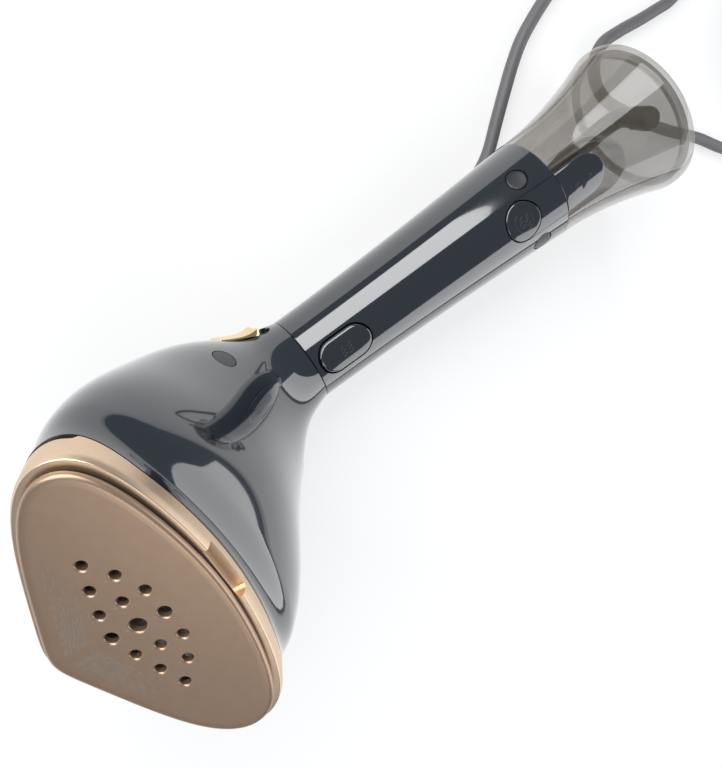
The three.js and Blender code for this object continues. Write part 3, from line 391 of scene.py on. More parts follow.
def tangent(degrees, run, height):
    a = math.radians(degrees)
    c, s = math.cos(a), math.sin(a)
    return np.array([OUTER_TURN * c - run * s + COIL_CENTRE[0],
                     OUTER_TURN * s + run * c + COIL_CENTRE[1], height])


def clear_run(r):
    return math.sqrt((COIL_OUTER + GAP) ** 2 - (OUTER_TURN - r) ** 2)


def coil_turns():
    """Turns that climb layer by layer: out to in, up, in to out, up; then on to the exit."""
    start = math.radians(COIL_ENTRY)
    turns = 2 * LAYERS
    last = math.radians(PLUG_EXIT) - start
    whole = (turns - 1) * TAU + last
    change = 0.5
    points = []
    for t in np.arange(0, whole, 0.07):
        turn, share = int(t // TAU), (t % TAU) / TAU
        shift = max(0.0, (share - (1 - change / TAU * 2)) / (change / TAU * 2))
        shift = shift * shift * (3 - 2 * shift)

        def place(k):
            layer, side = divmod(k, 2)
            out = side == 0 if layer % 2 == 0 else side == 1
            return np.array([OUTER_TURN if out else INNER_TURN, CORD_HEIGHT + layer * 2 * CORD_R])

        here, there = place(turn), place(min(turn + 1, turns - 1))
        r, z = here + (there - here) * shift
        a = start + t
        points.append([COIL_CENTRE[0] + r * math.cos(a), COIL_CENTRE[1] + r * math.sin(a), z])
    return np.array(points)


PLUG_LEVEL = 8.5
cord_start = to_row(RELIEF_TIP + RELIEF_DIRECTION * GAP) * 1000
lead_points = [cord_start, cord_start + (-6, -2.4, -1.1),
               *[(x, y, CORD_HEIGHT) for x, y in ROUTE]]
entry = tangent(COIL_ENTRY, -clear_run(CORD_R), CORD_HEIGHT)
lead_in = through([*lead_points, entry, tangent(COIL_ENTRY, 0, CORD_HEIGHT)], 260)
coil = coil_turns()
plug_at = tangent(PLUG_EXIT, clear_run(4.6), PLUG_LEVEL)
way_out = plug_at - tangent(PLUG_EXIT, 0, PLUG_LEVEL)
lead_out = through([coil[-3], coil[-1], tangent(PLUG_EXIT, 4, coil[-1][2] - 0.2),
                    tangent(PLUG_EXIT, 10, PLUG_LEVEL + 1.6), plug_at - way_out * 0.12,
                    plug_at + way_out * 0.05], 24)
cord_line = np.concatenate([lead_in[:-1], coil[:-2], lead_out])
cord_line = even(cord_line, 1500)
power_cord = wire("power_lead", [cord_line], CORD_R, jacket, "steamer_body",
                  flat_row, 5, ("power_cord", "cord_coil"))

# ---------- outlines of the steamer ----------

TANK_TOP = 67.0
TANK_RIM_R = 37.0
TANK_RIM_BAND = 5.0
TANK_WALL = 2.2
JOINT_R = 24.5
NECK_R = 19.0
HANDLE_LENGTH = 133.5
NECK_Z = TANK_TOP + HANDLE_LENGTH
WALL = 2.4
SEAM_X = -9.0
TRIGGER_Z = NECK_Z - 15.2
BUTTON_Z = TANK_TOP + 22.5
BUTTON_R = 8.7
PANEL_WIDTH = 18.6
LATCH_LENGTH = 25.0
CAP_R = 4.6
CAP_ANGLE = 41.5
CAP_Z = TANK_TOP + 14.4
FAR = 80.0


def tank_radius(z):
    share = np.clip((np.asarray(z, float) - TANK_RIM_BAND) / (TANK_TOP - TANK_RIM_BAND), 0, 1)
    return JOINT_R + (TANK_RIM_R - JOINT_R) * (1 - share) ** 1.75


def handle_radius(z):
    share = np.clip((np.asarray(z, float) - TANK_TOP) / HANDLE_LENGTH, 0, 1)
    return NECK_R + (JOINT_R - NECK_R) * (1 - share) ** 1.5


def side(radius, z0, z1, steps, inset=0.0):
    return [(float(radius(z)) - inset, float(z)) for z in np.linspace(z0, z1, steps + 1)]


def corner(r, z, size, start, steps=4):
    """Quarter round of a lathe profile: centre (r, z), from a direction in degrees."""
    angles = np.radians(start + np.linspace(0, 90, steps + 1))
    return [(r + size * math.cos(a), z + size * math.sin(a)) for a in angles]


def slot_outline(length, width, round_top=True, steps=20):
    """Outline (y, z) round the origin, longer along z, inset by any amount."""
    def at(inset):
        r = width / 2 - inset
        reach = length / 2 - width / 2
        bottom = [(r * math.cos(a), -reach + r * math.sin(a))
                  for a in np.linspace(-math.pi, 0, steps + 1)]
        if round_top:
            top = [(r * math.cos(a), reach + r * math.sin(a))
                   for a in np.linspace(0, math.pi, steps + 1)]
        else:
            height = length / 2 - inset
            line = np.linspace(1, -1, steps + 1)
            top = [(r * k, height) for k in line]
        return np.array(bottom + top)
    return at


def prism(outline, centre_z, x0, x1):
    """Straight prism along x from an outline in y and z."""
    rows = [[(x, y, z + centre_z) for y, z in outline] for x in (x0, x1)]
    return skin(rows)


def pad(outline, centre_z, under, lift, edge, depth, crown=0.0, half=8.0):
    """A button-like piece whose top follows the round surface under it."""
    def ring(inset, rise):
        return [(math.sqrt(max(float(under(z + centre_z)) ** 2 - y * y, 1)) + rise, y, z + centre_z)
                for y, z in outline(inset)]

    floor_x = float(under(centre_z)) - depth
    rows = [[(floor_x, y, z + centre_z) for y, z in outline(0)]]
    rows.append(ring(0, lift - edge))
    for t in np.linspace(0, 90, 6)[1:]:
        a = math.radians(t)
        rows.append(ring(edge * (1 - math.cos(a)), lift - edge + edge * math.sin(a)))
    for share in np.linspace(0, 0.94, 8)[1:]:
        rows.append(ring(edge + (half - edge) * share, lift + crown * (1 - (1 - share) ** 2)))
    return skin(rows)


# ---------- soleplate outline ----------

PLATE_X = 91.7
PLATE_Z = NECK_Z + 102.2
TILT = math.radians(21.7)
HEEL_SIDES = [(0, 33.7), (17.5, 35.8), (-17.5, 35.8), (95.2, 57.4), (-95.2, 57.4)]
TIP_SIDES = [(155.3, 29.9), (-155.3, 29.9)]
HEEL_SHARPNESS = 5.44
TIP_SHARPNESS = 14.0
BEZEL_DEPTH = 17.0
BEZEL_LIP = 2.0
BEZEL_DIP = 4.5
PLATE_THICKNESS = 2.6
OUTLINE_STEPS = 320
ring_angles = np.arange(OUTLINE_STEPS) * TAU / OUTLINE_STEPS


def side_sum(sides, sharpness, angles, offset):
    return sum((np.maximum(0, np.cos(angles - math.radians(degrees))) / (distance + offset)) ** sharpness
               for degrees, distance in sides)


def reach(angles, offset=0.0):
    """Distance of the plate's outline from its middle, grown by offset."""
    heel = side_sum(HEEL_SIDES, HEEL_SHARPNESS, angles, offset)
    tip = side_sum(TIP_SIDES, TIP_SHARPNESS, angles, offset) ** (HEEL_SHARPNESS / TIP_SHARPNESS)
    return (heel + tip) ** (-1 / HEEL_SHARPNESS)


def ease(value, low, high):
    share = np.clip((np.asarray(value, float) - low) / (high - low), 0, 1)
    return share * share * (3 - 2 * share)


def heel_share(angles):
    return ease(np.cos(angles), 0.15, 0.6)


def plate_ring(offset, depth, dip=0.0, step=0.0):
    """Ring round the plate; depth is measured back from its face."""
    r = reach(ring_angles, offset)
    aside = ease(np.abs(np.degrees(np.arctan2(np.sin(ring_angles), np.cos(ring_angles)))), 74, 76)
    z = dip * heel_share(ring_angles) + step * aside - depth
    return np.stack([r * np.cos(ring_angles), r * np.sin(ring_angles), z], 1)


def from_plate(points):
    """Plate axes (x towards the heel, y left, z out of the face) to upright millimetres."""
    x, y, z = np.asarray(points, float).T
    c, s = math.cos(TILT), math.sin(TILT)
    return np.stack([PLATE_X + s * x + c * z, y, PLATE_Z - c * x + s * z], 1)


def plate_row(points):
    return to_row(from_plate(points))


# ---------- head surface ----------

HEAD_SECTIONS = np.array([
    [0, 19, 19, 19],
    [0.125, 22, 24, 24.5],
    [0.25, 27, 31, 35],
    [0.5, 37, 40, 49],
    [0.75, 39.5, 40, 57],
    [1, reach(0.0, BEZEL_LIP), reach(math.pi, BEZEL_LIP), reach(math.pi / 2, BEZEL_LIP)],
])


def spline(xs, ys):
    """Natural cubic through the points, as a function."""
    n = len(xs)
    h = np.diff(xs)
    system, right_side = np.eye(n), np.zeros(n)
    for i in range(1, n - 1):
        system[i, i - 1:i + 2] = h[i - 1], 2 * (h[i - 1] + h[i]), h[i]
        right_side[i] = 6 * ((ys[i + 1] - ys[i]) / h[i] - (ys[i] - ys[i - 1]) / h[i - 1])
    bend = np.linalg.solve(system, right_side)

    def at(x):
        x = np.clip(x, xs[0], xs[-1])
        i = int(np.clip(np.searchsorted(xs, x) - 1, 0, n - 2))
        a, b = xs[i + 1] - x, x - xs[i]
        return ((bend[i] * a**3 + bend[i + 1] * b**3) / (6 * h[i])
                + (ys[i] / h[i] - bend[i] * h[i] / 6) * a
                + (ys[i + 1] / h[i] - bend[i + 1] * h[i] / 6) * b)
    return at


head_front, head_back, head_half = (spline(HEAD_SECTIONS[:, 0], HEAD_SECTIONS[:, k]) for k in (1, 2, 3))
plate_normal = np.array([math.cos(TILT), 0, math.sin(TILT)])
bezel_back = np.array([PLATE_X, 0, PLATE_Z]) - plate_normal * BEZEL_DEPTH
HEAD_LINE = [np.array([0, 0, NECK_Z]), np.array([0, 0, NECK_Z + 45]),
             bezel_back - plate_normal * 35, bezel_back]


def head_centre(share):
    a, b, c, d = HEAD_LINE
    k = 1 - share
    point = k**3 * a + 3 * k * k * share * b + 3 * k * share**2 * c + share**3 * d
    along = 3 * (k * k * (b - a) + 2 * k * share * (c - b) + share**2 * (d - c))
    return point, along / np.linalg.norm(along)


def head_ring(share, inset=0.0, slide=0.0, angles=ring_angles):
    """Ring of points round the head at a share of the way from the neck to the bezel."""
    centre, normal = head_centre(share)
    centre = centre + normal * slide
    forward = np.array([normal[2], 0, -normal[0]])
    c, s = np.cos(angles), np.sin(angles)
    lean = c * (1.5 - 0.5 * c * c)

    def mid(front, back):
        return (front + back) / 2 + (front - back) / 2 * lean

    ends = mid(head_front(share) - inset, head_back(share) - inset)
    half = head_half(share) - inset
    flat = reach(angles)
    blend = float(ease(share, 0.15, 0.85))
    x = ends * ((1 - blend) * c + blend * flat * c / mid(reach(0.0), reach(math.pi)))
    y = half * ((1 - blend) * s + blend * flat * s / reach(math.pi / 2))
    last = float(ease(share, 0.85, 1))
    exact = reach(angles, BEZEL_LIP - inset)
    x = x + (exact * c - x) * last
    y = y + (exact * s - y) * last
    out = centre + np.outer(x, forward) + np.outer(y, [0, 1, 0])
    return out + np.outer(BEZEL_DIP * float(ease(share, 0.6, 1)) * heel_share(angles), normal)


def head_solid(inset=0.0, overrun=0.0, steps=72):
    rows = [head_ring(share, inset) for share in np.linspace(0, 1, steps + 1)]
    if overrun:
        rows.insert(0, head_ring(0, inset, -overrun))
        rows.append(head_ring(1, inset, overrun))
    return skin(rows)


def head_spot(share, degrees):
    """Point on the head and its along, round and out directions."""
    a = np.radians([degrees, degrees + 1, degrees - 1])
    at, more, less = head_ring(share, angles=a)
    along = head_ring(share + 0.02, angles=a)[0] - head_ring(share - 0.02, angles=a)[0]
    along /= np.linalg.norm(along)
    out = np.cross(more - less, along)
    out /= np.linalg.norm(out)
    if out @ (at - head_centre(share)[0]) < 0:
        out = -out
    return at, along, np.cross(out, along), out


def on_spot(shape, spot):
    """A shape drawn at the origin (x along, y round, z out) moved onto a spot."""
    points, faces = shape
    at, along, round_way, out = spot
    return np.asarray(points) @ np.array([along, round_way, out]) + at, faces


HEAD_CAP = (0.3, 52.0)
cap_spots = [head_spot(HEAD_CAP[0], HEAD_CAP[1]), head_spot(HEAD_CAP[0], 360 - HEAD_CAP[1])]

# The slider keeps the place and the direction that its joint has in the row frame.
slider_along = np.array((0.86453, -0.46647, 0.18708))
slider_out = np.array((-0.46722, -0.8831, -0.04285))
SLIDER_SPOT = (np.array((51.967, -25.477, 28.875)), slider_along,
               np.cross(slider_out, slider_along), slider_out)

# ---------- head shell, its covers and its slider ----------

SLIDER_LENGTH = 19.0
SLIDER_WIDTH = 8.5
SLIDER_TRAVEL = 5.0


def disc_cutter(r, low, high, segments=72):
    return lathe([(0, low), (r, low), (r, high), (0, high)], segments)


head = build("head_shell_skin", *head_solid())
boolean(head, "DIFFERENCE", build("inside", *head_solid(WALL, 3, 40)))
for spot in cap_spots:
    boolean(head, "DIFFERENCE", build("cap_hole", *on_spot(disc_cutter(CAP_R + 0.35, -8, 8), spot)))


def track_outline(grow):
    """Round-ended recess of the slider, along x."""
    r = SLIDER_WIDTH / 2 + grow
    low, high = -SLIDER_LENGTH / 2 - SLIDER_TRAVEL - 1 + r, SLIDER_LENGTH / 2 + 1 - r
    turn = np.linspace(math.pi / 2, 3 * math.pi / 2, 17)
    return ([(low + r * math.cos(a), r * math.sin(a)) for a in turn]
            + [(high - r * math.cos(a), -r * math.sin(a)) for a in turn])


recess = [[(x, y, z) for x, y in track_outline(grow)]
          for grow, z in ((0.5, -0.6), (0.5, 0.6), (1.4, 3), (3, 12))]
boolean(head, "DIFFERENCE", build("recess", *on_spot(skin(recess), SLIDER_SPOT), flat_row))
finish(head, black, "steamer_body", ("head_shell", "head_rear_cover"))

for word, spot in zip(("left", "right"), cap_spots):
    cap = build(f"head_screw_cover_{word}", *on_spot(disc_cutter(CAP_R, -2.1, 8), spot))
    boolean(cap, "INTERSECT", build("outside", *head_solid(0.05)))
    finish(cap, satin, "steamer_body", (f"head_screw_cap_{word}",))


def slider_shape():
    """Thumb slider: dished top that sweeps up to a steep rounded end towards the neck."""
    h = SLIDER_LENGTH / 2
    stations = [(h, 0.5, 0.84), (h - 0.25, 0.95, 0.93), (h - 0.8, 1.18, 0.98), (h - 3, 1.1, 1),
                (h - 6, 0.95, 1), (h - 9, 0.9, 1), (h - 11.5, 1.05, 1), (h - 13.5, 1.35, 1),
                (h - 15, 1.8, 1), (h - 16.2, 2.4, 1), (h - 17.1, 2.85, 0.99), (h - 17.9, 2.9, 0.97),
                (h - 18.6, 2.55, 0.93), (h - 19, 1.9, 0.86)]
    rows = []
    for x, top, wide in stations:
        w = SLIDER_WIDTH / 2 * wide
        rows.append([(x, y * w, 0.1 + (top - 0.1) * z) for y, z in (
            (-1, 0), (-1, 0.75), (-0.96, 0.93), (-0.86, 1), (-0.5, 0.97), (0, 0.95), (0.5, 0.97),
            (0.86, 1), (0.96, 0.93), (1, 0.75), (1, 0), (0, 0))])
    return skin(rows)


slider = build("gold_power_slider", *on_spot(slider_shape(), SLIDER_SPOT), flat_row)
finish(slider, gold, "slider", ("power_slider",), 40)
track = build("slider_track_plate", *on_spot(
    skin([[(x, y, z) for x, y in track_outline(0.3)] for z in (-2.2, -0.5)]), SLIDER_SPOT), flat_row)
finish(track, moulded, "steamer_body")

# ---------- soleplate, gasket and bezel ----------

PITCH_LONG = 9.3
PITCH_SIDE = 9.95
HOLE_R = 1.7
half_holes = [
    (-PITCH_LONG, 0), (-PITCH_LONG + 2.2, 0.92 * PITCH_SIDE), (-PITCH_LONG + 5.1, 1.81 * PITCH_SIDE),
    (-PITCH_LONG + 8.5, 2.67 * PITCH_SIDE), (0, 0), (1.3, 0.99 * PITCH_SIDE), (5.1, 1.9 * PITCH_SIDE),
    (PITCH_LONG, 0), (PITCH_LONG - 0.1, PITCH_SIDE),
]
holes = [(x, y * sign) for x, y in half_holes for sign in ((1, -1) if y else (1,))]


def hole_size(x, y):
    if y:
        return HOLE_R
    return HOLE_R * (1.5 if x == 0 else 1.2)


def dished_hole(x, y):
    r = hole_size(x, y)
    profile = [(0, -6), (r, -6), (r, -0.75), (r + 0.05, -0.5), (r + 0.17, -0.3), (r + 0.34, -0.14),
               (r + 0.56, -0.02), (r + 0.62, 0.02), (r + 0.62, 1), (0, 1)]
    points, faces = lathe(profile, 56)
    return points + (x, y, 0), faces


PLATE_IN = -0.9
plate_rows = [plate_ring(PLATE_IN - 3.0, 0), plate_ring(PLATE_IN - 2.4, 0.02)]
for t in np.linspace(0, 90, 11):
    a = math.radians(t)
    plate_rows.append(plate_ring(PLATE_IN - 1.7 + 1.7 * math.sin(a), 0.05 + 1.45 * (1 - math.cos(a))))
plate_rows.append(plate_ring(PLATE_IN, PLATE_THICKNESS - 0.3))
plate_rows.append(plate_ring(PLATE_IN - 0.3, PLATE_THICKNESS))
plate = build("soleplate_face", *skin(plate_rows), plate_row)
boolean(plate, "DIFFERENCE", build("drills", *gather([dished_hole(*h) for h in holes]), plate_row))
finish(plate, bronze, "steamer_body", ("soleplate",), 40)

gasket_rows = [plate_ring(inset, PLATE_THICKNESS + depth) for inset, depth in (
    (-1.6, 0.3), (-1.6, 1.2), (-1.7, 1.3), (-3.1, 1.3), (-3.2, 1.2), (-3.2, 0.3))]
gasket = build("plate_seal", *skin(gasket_rows, True), plate_row)
finish(gasket, rubber, "steamer_body", ("plate_gasket",))

BEZEL_FRONT = PLATE_THICKNESS + 1.6
back = BEZEL_DEPTH - 0.3
bezel_rows = [plate_ring(-2, back, BEZEL_DIP), plate_ring(-2, BEZEL_FRONT + 0.3),
              plate_ring(-1.8, BEZEL_FRONT)]
for t in np.linspace(0, 80, 7):
    a = math.radians(t)
    bezel_rows.append(plate_ring(0.75 + 0.6 * math.sin(a), BEZEL_FRONT + 0.6 * (1 - math.cos(a))))
for t in (0.35, 0.7, 1):
    bezel_rows.append(plate_ring(1.35 + (BEZEL_LIP - 1.35) * math.sin(t * TAU / 4),
                                 BEZEL_FRONT + 0.5 + 2.5 * t))
middle = back - BEZEL_FRONT - 3.4
for share in (0.3, 0.6, 0.9):
    bezel_rows.append(plate_ring(BEZEL_LIP, BEZEL_FRONT + 3 + middle * share,
                                 BEZEL_DIP * share, 2.0 * share))
bezel_rows.append(plate_ring(BEZEL_LIP, back - 0.25, BEZEL_DIP, 2.0))
bezel_rows.append(plate_ring(BEZEL_LIP - 0.25, back, BEZEL_DIP, 2.0))
bezel = build("rose_gold_bezel", *skin(bezel_rows, True), plate_row)
NOTCH_WIDTH = 20.0
NOTCH_BACK = 8.6
half_notch = NOTCH_WIDTH / 2
notch_floor = float(reach(0.0, BEZEL_LIP)) - 2.6
notch = [[(x, y, z) for y, z in (
    (-half_notch, 1 - BEZEL_FRONT), (half_notch, 1 - BEZEL_FRONT), (half_notch, 0.8 - NOTCH_BACK),
    (half_notch - 0.8, -NOTCH_BACK), (0.8 - half_notch, -NOTCH_BACK), (-half_notch, 0.8 - NOTCH_BACK))]
    for x in (notch_floor, FAR)]
boolean(bezel, "DIFFERENCE", build("notch", *skin(notch), plate_row))
finish(bezel, rose, "steamer_body", ("bezel",), 40)


def printed_dashes():
    """Rows of short printed dashes that follow the two tip edges and thin out along the wings."""
    rng = np.random.default_rng(4)
    shapes = []
    for row in range(8):
        inside = 7.2 + 1.02 * row
        for sign in (1, -1):
            facing = math.radians(155.3) * sign
            edge = np.array([math.cos(facing), math.sin(facing)])
            along = np.array([-edge[1], edge[0]]) * -sign
            run = -12.2 + 0.46 * inside + 0.7 * (row % 2)
            while run < 37 - 2.2 * row:
                spread = max(0.0, (run + 1) / (39 - 1.9 * row))
                length = rng.uniform(1.8, 3.4) * (1 - 0.45 * min(spread, 1))
                sway = 0.16 * math.sin(run * 0.8 + row)
                middle = edge * (29.9 - inside + sway) + along * (run + length / 2)
                if middle[0] < 14 and middle[1] * sign > 0.2 and rng.random() > spread**1.4:
                    u, v = along * length / 2, edge * 0.19 * (1 - 0.3 * spread)
                    low = [middle - u - v, middle + u - v, middle + u + v, middle - u + v]
                    shapes.append(skin([[(*p, z) for p in low] for z in (-0.1, 0.02)]))
                run += length + rng.uniform(0.5, 1.0) + 2.6 * spread
    return gather(shapes)


dashes = build("printed_dashes", *printed_dashes(), plate_row)
finish(dashes, print_grey, "steamer_body")

# ---------- handle ----------

handle_top = NECK_Z - 0.3
outer = side(handle_radius, TANK_TOP + 0.25, handle_top - 0.25, 70)
handle = build("handle_shells", *lathe([
    *side(handle_radius, TANK_TOP, handle_top, 24, WALL),
    (outer[-1][0] - 0.25, handle_top), *outer[::-1], (outer[0][0] - 0.25, TANK_TOP)], 224))
trigger_outline = slot_outline(24.5, 14)
button_outline = slot_outline(2 * BUTTON_R, 2 * BUTTON_R, steps=28)
panel_cut = block((0, -PANEL_WIDTH / 2 - 0.2, TANK_TOP - 1), (FAR, PANEL_WIDTH / 2 + 0.2, BUTTON_Z))
boolean(handle, "DIFFERENCE",
        build("trigger_way", *prism(trigger_outline(-0.75), TRIGGER_Z, 2, FAR)),
        build("panel_way", *panel_cut),
        build("button_way", *prism(button_outline(-0.55), BUTTON_Z, 2, FAR)),
        build("seam", *block((SEAM_X - 0.12, -FAR, TANK_TOP - 5), (SEAM_X + 0.12, FAR, NECK_Z + 5))))


def radial_disc(r, low, high, sign):
    """Disc or hole through the handle's side at a screw cover."""
    points, faces = lathe([(0, low), (r, low), (r, high), (0, high)], 72)
    points = points[:, [2, 1, 0]] * (1, 1, -1) + (0, 0, CAP_Z)
    return spin(points, sign * CAP_ANGLE), faces


for sign in (1, -1):
    boolean(handle, "DIFFERENCE", build("cap_way", *radial_disc(CAP_R + 0.35, 4, 40, sign)))
RELIEF_LENGTH = 34
relief_low = RELIEF_TIP - RELIEF_DIRECTION * RELIEF_LENGTH


def aimed(profile, at, direction, segments=64):
    points, faces = lathe(profile, segments)
    z = np.asarray(direction, float)
    x = np.cross([0, 1, 0], z)
    x /= np.linalg.norm(x)
    return points @ np.array([x, np.cross(z, x), z]) + at, faces


relief_way = [(0, -1), (5.3, -1), (4.2, RELIEF_LENGTH), (0, RELIEF_LENGTH)]
boolean(handle, "DIFFERENCE",
        build("relief_way", *aimed(relief_way, relief_low, RELIEF_DIRECTION)))
finish(handle, black, "steamer_body", ("handle_front_shell", "handle_rear_shell"))

cap_outline = slot_outline(2 * CAP_R, 2 * CAP_R, steps=28)
for word, sign in (("left", 1), ("right", -1)):
    points, faces = pad(cap_outline, CAP_Z, handle_radius, 0.0, 0.35, 1.6, -0.05, CAP_R)
    cap = build(f"handle_screw_cover_{word}", spin(points, sign * CAP_ANGLE), faces)
    finish(cap, satin, "steamer_body", (f"handle_screw_cap_{word}",))

panel = build("front_insert_panel", *lathe([
    *side(handle_radius, TANK_TOP, BUTTON_Z, 6, WALL),
    *side(handle_radius, TANK_TOP, BUTTON_Z, 20)[::-1]], 224))
boolean(panel, "INTERSECT", build("strip", *block((4, -PANEL_WIDTH / 2, TANK_TOP - 2),
                                                  (FAR, PANEL_WIDTH / 2, BUTTON_Z - 0.3))))
boolean(panel, "DIFFERENCE", build("button_way", *prism(button_outline(-0.55), BUTTON_Z, 2, FAR)))
finish(panel, black, "steamer_body", ("insert_panel",))

trigger = build("trigger_key", *pad(trigger_outline, TRIGGER_Z, handle_radius, 0.9, 0.9, 8, 0.25, 7))
finish(trigger, black, "trigger", ("steam_trigger",), 40)
button = build("mode_key", *pad(button_outline, BUTTON_Z, handle_radius, 0.35, 0.5, 7.6, -0.25,
                                BUTTON_R))
finish(button, black, "button", ("mode_button",), 40)


def wavy(offset, lift, centre_z, surface_lift):
    """One wavy stroke of a steam sign, on the handle's surface."""
    z = np.linspace(-2.6, 2.6, 22)
    y = offset + 0.55 * np.sin(z * 1.9)
    x = np.sqrt(handle_radius(z + centre_z) ** 2 - y * y) + surface_lift
    return np.stack([x, y, z + centre_z + lift], 1)


wire("trigger_sign", [wavy(k * 1.7, 0, TRIGGER_Z, 1.12) for k in (-1, 0, 1)], 0.16, moulded,
     "trigger")
wire("mode_sign", [wavy(k * 1.9, abs(k) * -0.6, BUTTON_Z, 0.14) for k in (-1, 0, 1)], 0.17, moulded,
     "button")
hoop = np.linspace(0.5, TAU - 0.5, 60)
wire("mode_sign_ring", [np.stack([
    np.sqrt(handle_radius(BUTTON_Z + 4.6 * np.sin(hoop)) ** 2 - (4.6 * np.cos(hoop)) ** 2) + 0.16,
    4.6 * np.cos(hoop), BUTTON_Z + 4.6 * np.sin(hoop)], 1)], 0.16, moulded, "button")

# ---------- tank ----------

POCKET_FLOOR = JOINT_R - 5.7
POCKET_WIDTH = PANEL_WIDTH + 5
POCKET_END = TANK_TOP - LATCH_LENGTH - 8
shoulder = TANK_TOP - 0.3


def tongue(z0, z1, width, x0, x1):
    outline = slot_outline(z1 - z0, width, False, 32)(0)
    return prism(outline, (z0 + z1) / 2, x0, x1)


tank = build("clear_water_tank", *lathe([
    (0, 0), (TANK_RIM_R - 1.4, 0), *corner(TANK_RIM_R - 1.2, 1.2, 1.2, -90),
    *side(tank_radius, TANK_RIM_BAND, shoulder - 0.3, 44), (JOINT_R - 0.3, shoulder),
    (12, shoulder), (12, TANK_TOP + 6), (0, TANK_TOP + 6)], 192))
hollow = build("tank_hollow", *lathe([
    (0, -1), (TANK_RIM_R - TANK_WALL, -1),
    *side(tank_radius, TANK_RIM_BAND, shoulder - 3.4, 40, TANK_WALL),
    (JOINT_R - TANK_WALL - 1.2, shoulder - 2.2), (9.8, shoulder - 2.2), (9.8, TANK_TOP + 3.8),
    (0, TANK_TOP + 3.8)], 192))
boolean(hollow, "DIFFERENCE", build("pocket_wall", *tongue(
    POCKET_END - TANK_WALL, TANK_TOP + 1, POCKET_WIDTH + 2 * TANK_WALL, POCKET_FLOOR - TANK_WALL, FAR)))
boolean(tank, "DIFFERENCE", hollow,
        build("pocket", *tongue(POCKET_END, TANK_TOP + 1, POCKET_WIDTH, POCKET_FLOOR, FAR)),
        build("outlet", *disc_cutter(4.2, shoulder - 4, TANK_TOP + 8)))
finish(tank, smoke, "tank", ("water_tank",), 30)

base_r = TANK_RIM_R - TANK_WALL - 0.3
base = build("tank_base", *lathe([
    (0, 1.6), (base_r - 3.2, 1.6), (base_r - 3.2, 3.8), (0, 3.8)], 160))
finish(base, smoke, "tank", ("tank_end_cap",))
rim_band = build("tank_rim_band", *lathe([
    (base_r - 2.9, 1.1), (base_r - 2.6, 0.8), (base_r - 0.3, 0.8), (base_r, 1.1), (base_r, 4.1),
    (base_r - 0.3, 4.4), (base_r - 2.6, 4.4), (base_r - 2.9, 4.1)], 192))
finish(rim_band, deep_smoke, "tank")

pad_outline = slot_outline(LATCH_LENGTH - 0.3, PANEL_WIDTH, False, 32)
pad_z = TANK_TOP - 0.3 - (LATCH_LENGTH - 0.3) / 2
latch = build("latch_key", *pad(pad_outline, pad_z, lambda z: JOINT_R - 0.1, 0.0, 0.6, 3.6, 0.0, 9.3))
finish(latch, black, "latch", ("latch_pad",), 40)


def release_marks():
    """Three raised arrowheads that point the way the tank comes off."""
    shapes = []
    for z, y in ((pad_z + 4.6, 0), (pad_z + 0.6, -2.1), (pad_z - 3.4, 0)):
        x = math.sqrt((JOINT_R - 0.1) ** 2 - y * y)
        outline = [(y - 1.7, z + 1.4), (y + 1.7, z + 1.4), (y, z - 1.6)]
        shapes.append(skin([[(x + h, *(np.array(p) * k + np.array((y, z)) * (1 - k))) for p in outline]
                            for h, k in ((-0.3, 1), (0.12, 1), (0.2, 0.85))]))
    return gather(shapes)


marks = build("latch_marks", *release_marks())
finish(marks, moulded, "latch")

intake = through([(0, 0, TANK_TOP - 7.3), (0, 0.1, 54), (-0.4, 2, 43), (0, 3.3, 26), (2, 4.9, 17.6),
                  (7.2, 6.2, 12.4), (14, 5.6, 11.6)], 60)
wire("suction_tube", [intake], 4.5, moulded, "tank", sides=8, replaced=("intake_tube",))
lean = np.array([0.99, -0.12, -0.06])
lean /= np.linalg.norm(lean)
weight = build("suction_end", *aimed([(0, 0.6), (4.7, 0.6), (5.2, 1.1), (5.2, 2.6), (4.7, 3), (4.7, 3.8),
                                      (5.3, 4.3), (5.5, 9), (5.2, 11), (4.6, 12), (0, 12)],
                                     (14, 5.6, 11.6), lean))
finish(weight, moulded, "tank", ("intake_filter",))

# ---------- strain relief and plug ----------

relief_profile = [(0, 0), (5, 0), (5, 6)]
for k in range(6):
    z = 8 + k * 4.2
    r = 5 - 1.1 * z / RELIEF_LENGTH
    relief_profile += [(r, z), (r, z + 2.4), (r - 0.7, z + 2.8), (r - 0.7, z + 3.8)]
relief_profile += [(3.9, 33.4), (3.6, 34), (0, 34)]
relief = build("ribbed_strain_relief", *aimed(relief_profile, relief_low, RELIEF_DIRECTION))
finish(relief, rubber, "steamer_body", ("strain_relief",), 40)



def beside(points):
    """Plug pieces drawn along x from the tail, laid beside the coil (row millimetres)."""
    a = math.radians(PLUG_EXIT + 90)
    c, s = math.cos(a), math.sin(a)
    turned = np.asarray(points, float) @ np.array([[c, s, 0], [-s, c, 0], [0, 0, 1]])
    return flat_row(turned + plug_at)


def plug_rows():
    rows = []
    for x, w, h in ((0, 4.4, 4.4), (4, 4.9, 4.9), (9, 5.8, 5.6), (13, 7.6, 6.4), (16, 10.2, 7.4),
                    (19, 11.8, 8.1), (23, 12.3, 8.3), (28, 11.6, 7.9), (33, 11.9, 8.1),
                    (38.6, 12.5, 8.4),
                    (39.7, 12.1, 8.0), (40, 11.2, 7.3)):
        turn = np.arange(48) * TAU / 48
        power = 2 / 3.2
        rows.append([(x, w * np.sign(math.cos(a)) * abs(math.cos(a)) ** power,
                      h * np.sign(math.sin(a)) * abs(math.sin(a)) ** power) for a in turn])
    return rows


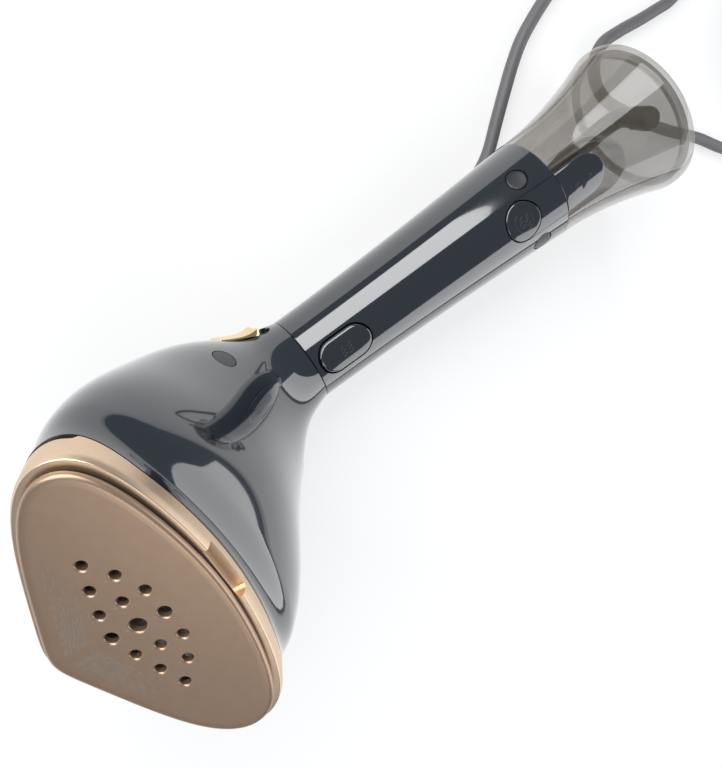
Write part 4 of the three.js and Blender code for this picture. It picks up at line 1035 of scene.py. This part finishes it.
plug = build("plug_grip", *skin(plug_rows()), beside)
finish(plug, jacket, "steamer_body", ("plug_body",), 40)
for word, sign in (("left", 1), ("right", -1)):
    y = sign * 6.35
    rows = []
    for x, thin, wide in ((40.3, 0.75, 3.15), (55.6, 0.75, 3.15), (56.6, 0.6, 2.6), (57, 0.4, 2.1)):
        rows.append([(x, y + a * thin, b * wide) for a, b in (
            (-1, -0.9), (-0.8, -1), (0.8, -1), (1, -0.9), (1, 0.9), (0.8, 1), (-0.8, 1), (-1, 0.9))])
    blade = build(f"plug_prong_{word}", *skin(rows), beside)
    finish(blade, blade_brass, "steamer_body", (f"plug_blade_{word}",))

# ---------- the CAD parts that stay ----------

slots = {entry["node"]: entry["material_slot"] for entry in frame["record"]["subparts"]}
for name, made in nodes.items():
    made.data.materials.clear()
    made.data.materials.append(LOOKS[slots[name]])

# ---------- table and light ----------

table = build("table_top", [(-3000, -3000, -0.2), (3000, -3000, -0.2), (3000, 3000, -0.2),
                            (-3000, 3000, -0.2)], [(0, 1, 2, 3)], flat_row)
table.data.materials.append(surface("pale_table", (0.32, 0.32, 0.32), 0.7, grain=300, vary=0.01,
                                    bump=0.0, Specular_IOR_Level=0.1, Emission_Strength=0.66,
                                    Emission_Color=(1, 1, 1, 1)))


def soft_light(name, towards, distance, size, power, slide=0.0, colour=(1, 1, 1)):
    """Area light facing the steamer from a direction; its width is level and it slides along it."""
    way = Vector(towards).normalized()
    data = bpy.data.lights.new(name, "AREA")
    data.shape = "RECTANGLE"
    data.size, data.size_y = size
    data.energy = power
    data.color = colour
    made = bpy.data.objects.new(name, data)
    level = Vector((-way.y, way.x, 0)).normalized()
    up = way.cross(level)
    place = Vector((0, 0, 0.06)) + way * distance + level * slide
    made.matrix_world = Matrix.Translation(place) @ Matrix((level, up, way)).transposed().to_4x4()
    bpy.context.scene.collection.objects.link(made)


soft_light("key_box", (0, -0.8, 0.6), 1.3, (1.75, 0.95), 27, 0.35)
soft_light("side_wall", (-0.7, 0.7, 0.42), 1.5, (2.3, 1.1), 16)
soft_light("top_wash", (0.5, 0.35, 0.8), 2.2, (1.2, 1.2), 9)
world = bpy.data.worlds.new("studio")
world.use_nodes = True
world.node_tree.nodes["Background"].inputs["Color"].default_value = (0.8, 0.88, 1.0, 1)
world.node_tree.nodes["Background"].inputs["Strength"].default_value = 0.28
bpy.context.scene.world = world
